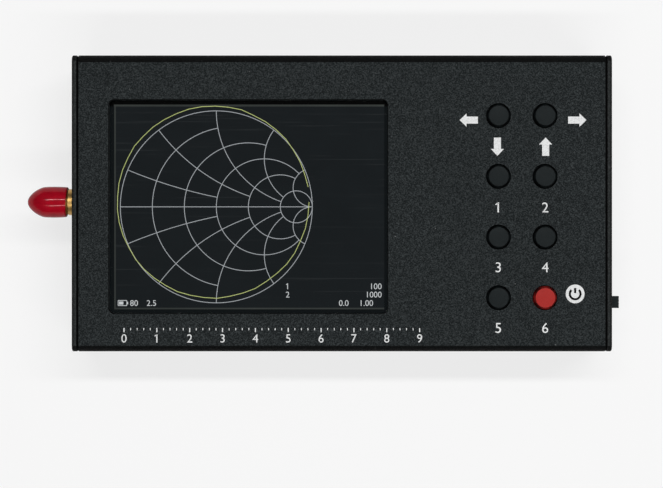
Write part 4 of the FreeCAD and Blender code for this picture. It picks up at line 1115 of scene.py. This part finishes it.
class ANALYZER_OT_socket(bpy.types.Operator):
    """Build the radio socket: its thread, its neck, its flange and its four legs"""

    bl_idname = "analyzer.socket"
    bl_label = "Radio Socket"

    barrel = 3.175 * MM
    barrel_length = 9.4 * MM
    mouth = 2.3 * MM
    mouth_depth = 1.9 * MM
    seat = 2.05 * MM
    runout = 0.05 * MM
    flange_half = 3.325 * MM
    flange_depth = 1.8 * MM
    leg = 1.0 * MM
    leg_length = 2.5 * MM
    plate_depth = 1.6 * MM
    thread_profile = ((1, 0.0), (1, 0.14), (0, 0.46), (0, 0.62), (1, 1.0))
    steps_per_turn = 48

    def execute(self, context):
        socket = context.scene.analyzer_socket
        barrel, front = self.barrel, self.barrel_length
        root = barrel - socket.thread_depth
        tip = barrel - socket.chamfer
        thread_from = self.plate_depth + socket.neck
        thread_to = front - socket.chamfer
        bm = bmesh.new()
        self.add_thread(bm, root, socket.thread_pitch, thread_from, thread_to)
        rims = [level_edges([edge for edge in bm.edges if edge.is_boundary], height)
                for height in (thread_from, thread_to)]
        turn_chain(bm, [(tip, front), (self.mouth, front), (self.mouth, front - self.mouth_depth),
                        (self.seat, front - self.mouth_depth), (self.seat, -self.flange_depth)])
        turn_chain(bm, [(root, thread_from - self.runout), (barrel - 0.06 * MM, thread_from - 0.35 * MM),
                        (barrel, thread_from - 0.42 * MM), (barrel, 0)])
        bmesh.ops.bridge_loops(bm, edges=rims[1] + ring_edges(bm, tip, front))
        bmesh.ops.bridge_loops(bm, edges=rims[0] + ring_edges(bm, root, thread_from - self.runout))
        self.add_flange(bm, socket)
        turn_about_y(bm, -math.pi / 2)
        shift(bm, SOCKET_AXIS + Vector((low("left_end_plate").x + self.plate_depth, 0, 0)))
        make_piece(bm, "threaded_socket", "case", "gold_plate", "socket_body")
        return {"FINISHED"}

    def add_thread(self, bm, root, pitch, thread_from, thread_to):
        """A helix of one thread profile, cut off square at both ends."""
        turns = math.ceil((thread_to - thread_from) / pitch) + 2
        start = thread_from - 1.5 * pitch
        profile = add_chain(bm, [(self.barrel if crest else root, start + share * pitch)
                                 for crest, share in self.thread_profile])
        spin(bm, profile, (0, 0, 0), turns * FULL_TURN, turns * self.steps_per_turn,
             rise=pitch / self.steps_per_turn)
        bmesh.ops.remove_doubles(bm, verts=bm.verts, dist=0.002 * MM)
        for height, upper in ((thread_from, False), (thread_to, True)):
            bmesh.ops.bisect_plane(bm, geom=bm.verts[:] + bm.edges[:] + bm.faces[:], dist=WELD,
                                   plane_co=(0, 0, height), plane_no=(0, 0, 1),
                                   clear_outer=upper, clear_inner=not upper)

    def add_flange(self, bm, socket):
        """The square flange round the seat, and the legs that grip the board."""
        back = -self.flange_depth
        half = Vector((self.flange_half, self.flange_half, 0))
        block = add_block(bm, -half + Vector((0, 0, back)), half)
        outlines = [level_edges(edges_of(block), height) for height in (0.0, back)]
        faces = [face for face in {face for vert in block for face in vert.link_faces}
                 if abs(face.calc_center_median().xy.length) < WELD]
        bmesh.ops.delete(bm, geom=faces, context="FACES_ONLY")
        bmesh.ops.triangle_fill(bm, use_beauty=True, edges=outlines[0] + ring_edges(bm, self.barrel, 0))
        bmesh.ops.triangle_fill(bm, use_beauty=True, edges=outlines[1] + ring_edges(bm, self.seat, back))
        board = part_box("main_board")
        axis = SOCKET_AXIS.z
        for side in (-1, 1):
            for start in (board[1].z - axis, board[0].z - self.leg - axis):
                y0, y1 = sorted((side * self.flange_half, side * (self.flange_half - self.leg)))
                leg = add_block(bm, Vector((start, y0, back - self.leg_length)),
                                Vector((start + self.leg, y1, back / 2)))
                soften(bm, edges_of(leg), socket.edge, 2)


class ANALYZER_OT_slider(bpy.types.Operator):
    """Build the slider of the slide switch, with grooves across its tip"""

    bl_idname = "analyzer.slider"
    bl_label = "Slider"

    body_back = 0.9 * MM
    body_edge = 0.15 * MM
    knob_back = 1.9 * MM
    knob_length = 2.9 * MM
    knob_height = 1.5 * MM
    ridges = 7

    def execute(self, context):
        fittings = context.scene.analyzer_fittings
        lowest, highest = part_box("slide_switch_knob")
        centre = (lowest + highest) / 2
        plate = low("right_end_plate").x
        bm = bmesh.new()
        block = add_block(bm, lowest, Vector((plate - self.body_back, highest.y, highest.z)))
        soften(bm, edges_of(block), self.body_edge, 3)
        half = Vector((0, self.knob_length / 2, self.knob_height / 2))
        knob = add_block(bm, Vector((plate - self.knob_back, centre.y, centre.z)) - half,
                         Vector((highest.x, centre.y, centre.z)) + half)
        bmesh.ops.subdivide_edges(bm, edges=edges_along(knob, 1), cuts=self.ridges - 1, use_grid_fill=True)
        tip = [face for face in bm.faces if abs(face.calc_center_median().x - highest.x) < WELD]
        tip.sort(key=lambda face: face.calc_center_median().y)
        grooves = bmesh.ops.extrude_discrete_faces(bm, faces=tip[1::2])["faces"]
        bmesh.ops.translate(bm, vec=(-fittings.ridge_depth, 0, 0),
                            verts=list({vert for face in grooves for vert in face.verts}))
        bm.normal_update()
        sharp = [edge for edge in bm.edges if len(edge.link_faces) == 2 and edge.calc_face_angle() > 1.0
                 and edge.verts[0].co.x > plate and edge.verts[1].co.x > plate]
        soften(bm, sharp, fittings.slider_edge, 2)
        make_piece(bm, "grooved_slider", "slider", "key_black", "slide_switch_knob")
        return {"FINISHED"}


class ANALYZER_OT_contacts(bpy.types.Operator):
    """Lay the two rows of contacts on the tongue of the charging port"""

    bl_idname = "analyzer.contacts"
    bl_label = "Port Contacts"

    count = 12
    proud = 0.02 * MM
    edge = 0.008 * MM
    length = 3.6 * MM
    set_back = 0.5 * MM

    def execute(self, context):
        fittings = context.scene.analyzer_fittings
        lowest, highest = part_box("port_tongue")
        centre = (lowest + highest) / 2
        front = highest.x - self.set_back
        bm = bmesh.new()
        for number in range(self.count):
            y = centre.y + (number - (self.count - 1) / 2) * fittings.contact_pitch
            for surface, side in ((lowest.z, -1), (highest.z, 1)):
                z0, z1 = sorted((surface - side * self.proud, surface + side * self.proud))
                pad = add_block(bm, Vector((front - self.length, y - fittings.contact_width / 2, z0)),
                                Vector((front, y + fittings.contact_width / 2, z1)))
                soften(bm, edges_of(pad), self.edge, 1)
        make_piece(bm, "port_contacts", "case", "gold_plate")
        return {"FINISHED"}


class ANALYZER_OT_stage(bpy.types.Operator):
    """Set up the floor, the lamps, the surroundings and the camera"""

    bl_idname = "analyzer.stage"
    bl_label = "Studio"

    floor_radius = 6.0
    floor_drop = 0.05 * MM
    floor_glow = (0.975, 0.975, 0.975, 1.0)
    floor_glow_share = 0.75
    lamp_size = (1.3, 0.08)
    lamps = (("lamp_top", (0.24, 0.40, 1.26), 11.0), ("lamp_bottom", (0.24, -0.62, 1.21), 7.8))
    camera_over = (-2.5 * MM, -9.8 * MM)

    def execute(self, context):
        studio = context.scene.analyzer_studio
        self.make_floor(studio)
        self.make_surroundings(context.scene)
        for name, place, power in self.lamps:
            self.make_lamp(name, place, power)
        self.make_camera(context.scene, studio)
        return {"FINISHED"}

    def make_floor(self, studio):
        """A card that also glows a little, as the camera and reflections see it."""
        bm = bmesh.new()
        bmesh.ops.create_circle(bm, cap_ends=True, radius=self.floor_radius, segments=96)
        shift(bm, (0, 0, -self.floor_drop))
        mesh = bpy.data.meshes.new("floor")
        bm.to_mesh(mesh)
        bm.free()
        floor = add_object("floor", mesh)
        material = make_material("floor_card", floor_card, studio.floor)
        tree = material.node_tree
        glow = node(tree, "Emission", {"Color": self.floor_glow})
        rays = node(tree, "LightPath").outputs
        seen = maths(tree, "MAXIMUM", rays["Is Camera Ray"], rays["Is Glossy Ray"])
        seen = maths(tree, "MAXIMUM", seen, rays["Is Transmission Ray"])
        share = maths(tree, "MULTIPLY", seen, self.floor_glow_share)
        card = tree.nodes["Principled BSDF"].outputs[0]
        blend = node(tree, "MixShader", {0: share, 1: card, 2: glow.outputs[0]})
        set_inputs(tree.nodes["Material Output"], {"Surface": blend.outputs[0]})
        mesh.materials.append(material)

    def make_surroundings(self, scene):
        """Pale surroundings that darken overhead."""
        scene.world = bpy.data.worlds.new("studio")
        scene.world.use_nodes = True
        tree = scene.world.node_tree
        tree.nodes.clear()
        up = split(tree, node(tree, "TexCoord").outputs["Generated"])[2]
        strength = spread(tree, up, 0.06, 0.18, 0.92, 0.05)
        background = node(tree, "Background", {"Color": (1, 1, 1, 1), "Strength": strength})
        node(tree, "OutputWorld", {"Surface": background.outputs[0]})

    def make_lamp(self, name, place, power):
        """A long soft lamp, aimed straight across at the front face's middle line."""
        lamp = bpy.data.lights.new(name, "AREA")
        lamp.shape = "RECTANGLE"
        lamp.size, lamp.size_y = self.lamp_size
        lamp.energy = power
        holder = add_object(name, lamp)
        holder.location = place
        aim = Vector((holder.location.x, 0, FACE_Z)) - holder.location
        holder.rotation_euler = aim.to_track_quat("-Z", "Y").to_euler()

    def make_camera(self, scene, studio):
        """A camera over the front face that shows a given width of it."""
        camera = bpy.data.cameras.new("camera")
        camera.lens = camera.sensor_width * studio.camera_distance / studio.view_width
        camera.clip_start = 0.01
        camera.clip_end = 20.0
        scene.camera = add_object("camera", camera)
        scene.camera.location = (*self.camera_over, FACE_Z + studio.camera_distance)
        scene.view_settings.view_transform = "Standard"


class ANALYZER_PT_panel(bpy.types.Panel):
    """Lists the analyzer's sizes, colours and pieces"""

    bl_idname = "ANALYZER_PT_panel"
    bl_label = "Antenna Analyzer"
    bl_space_type = "VIEW_3D"
    bl_region_type = "UI"
    bl_category = "Analyzer"

    def draw(self, context):
        for pointer, group in SETTINGS.items():
            box = self.layout.box()
            for name in group.__annotations__:
                box.prop(getattr(context.scene, pointer), name)
        for operator in OPERATORS:
            self.layout.operator(operator.bl_idname)


OPERATORS = (
    ANALYZER_OT_finishes,
    ANALYZER_OT_keys,
    ANALYZER_OT_dust_cap,
    ANALYZER_OT_chart,
    ANALYZER_OT_legends,
    ANALYZER_OT_seals,
    ANALYZER_OT_screws,
    ANALYZER_OT_socket,
    ANALYZER_OT_slider,
    ANALYZER_OT_contacts,
    ANALYZER_OT_stage,
)


def register():
    for group in SETTINGS.values():
        bpy.utils.register_class(group)
    for pointer, group in SETTINGS.items():
        setattr(bpy.types.Scene, pointer, bpy.props.PointerProperty(type=group))
    for operator in OPERATORS:
        bpy.utils.register_class(operator)
    bpy.utils.register_class(ANALYZER_PT_panel)


def unregister():
    bpy.utils.unregister_class(ANALYZER_PT_panel)
    for operator in reversed(OPERATORS):
        bpy.utils.unregister_class(operator)
    for pointer in SETTINGS:
        delattr(bpy.types.Scene, pointer)
    for group in reversed(SETTINGS.values()):
        bpy.utils.unregister_class(group)


def main():
    """Build every piece."""
    register()
    bpy.ops.analyzer.finishes()
    bpy.ops.analyzer.keys()
    bpy.ops.analyzer.dust_cap()
    bpy.ops.analyzer.chart()
    bpy.ops.analyzer.legends()
    bpy.ops.analyzer.seals()
    bpy.ops.analyzer.screws()
    bpy.ops.analyzer.socket()
    bpy.ops.analyzer.slider()
    bpy.ops.analyzer.contacts()
    bpy.ops.analyzer.stage()


if __name__ == "__main__":
    main()
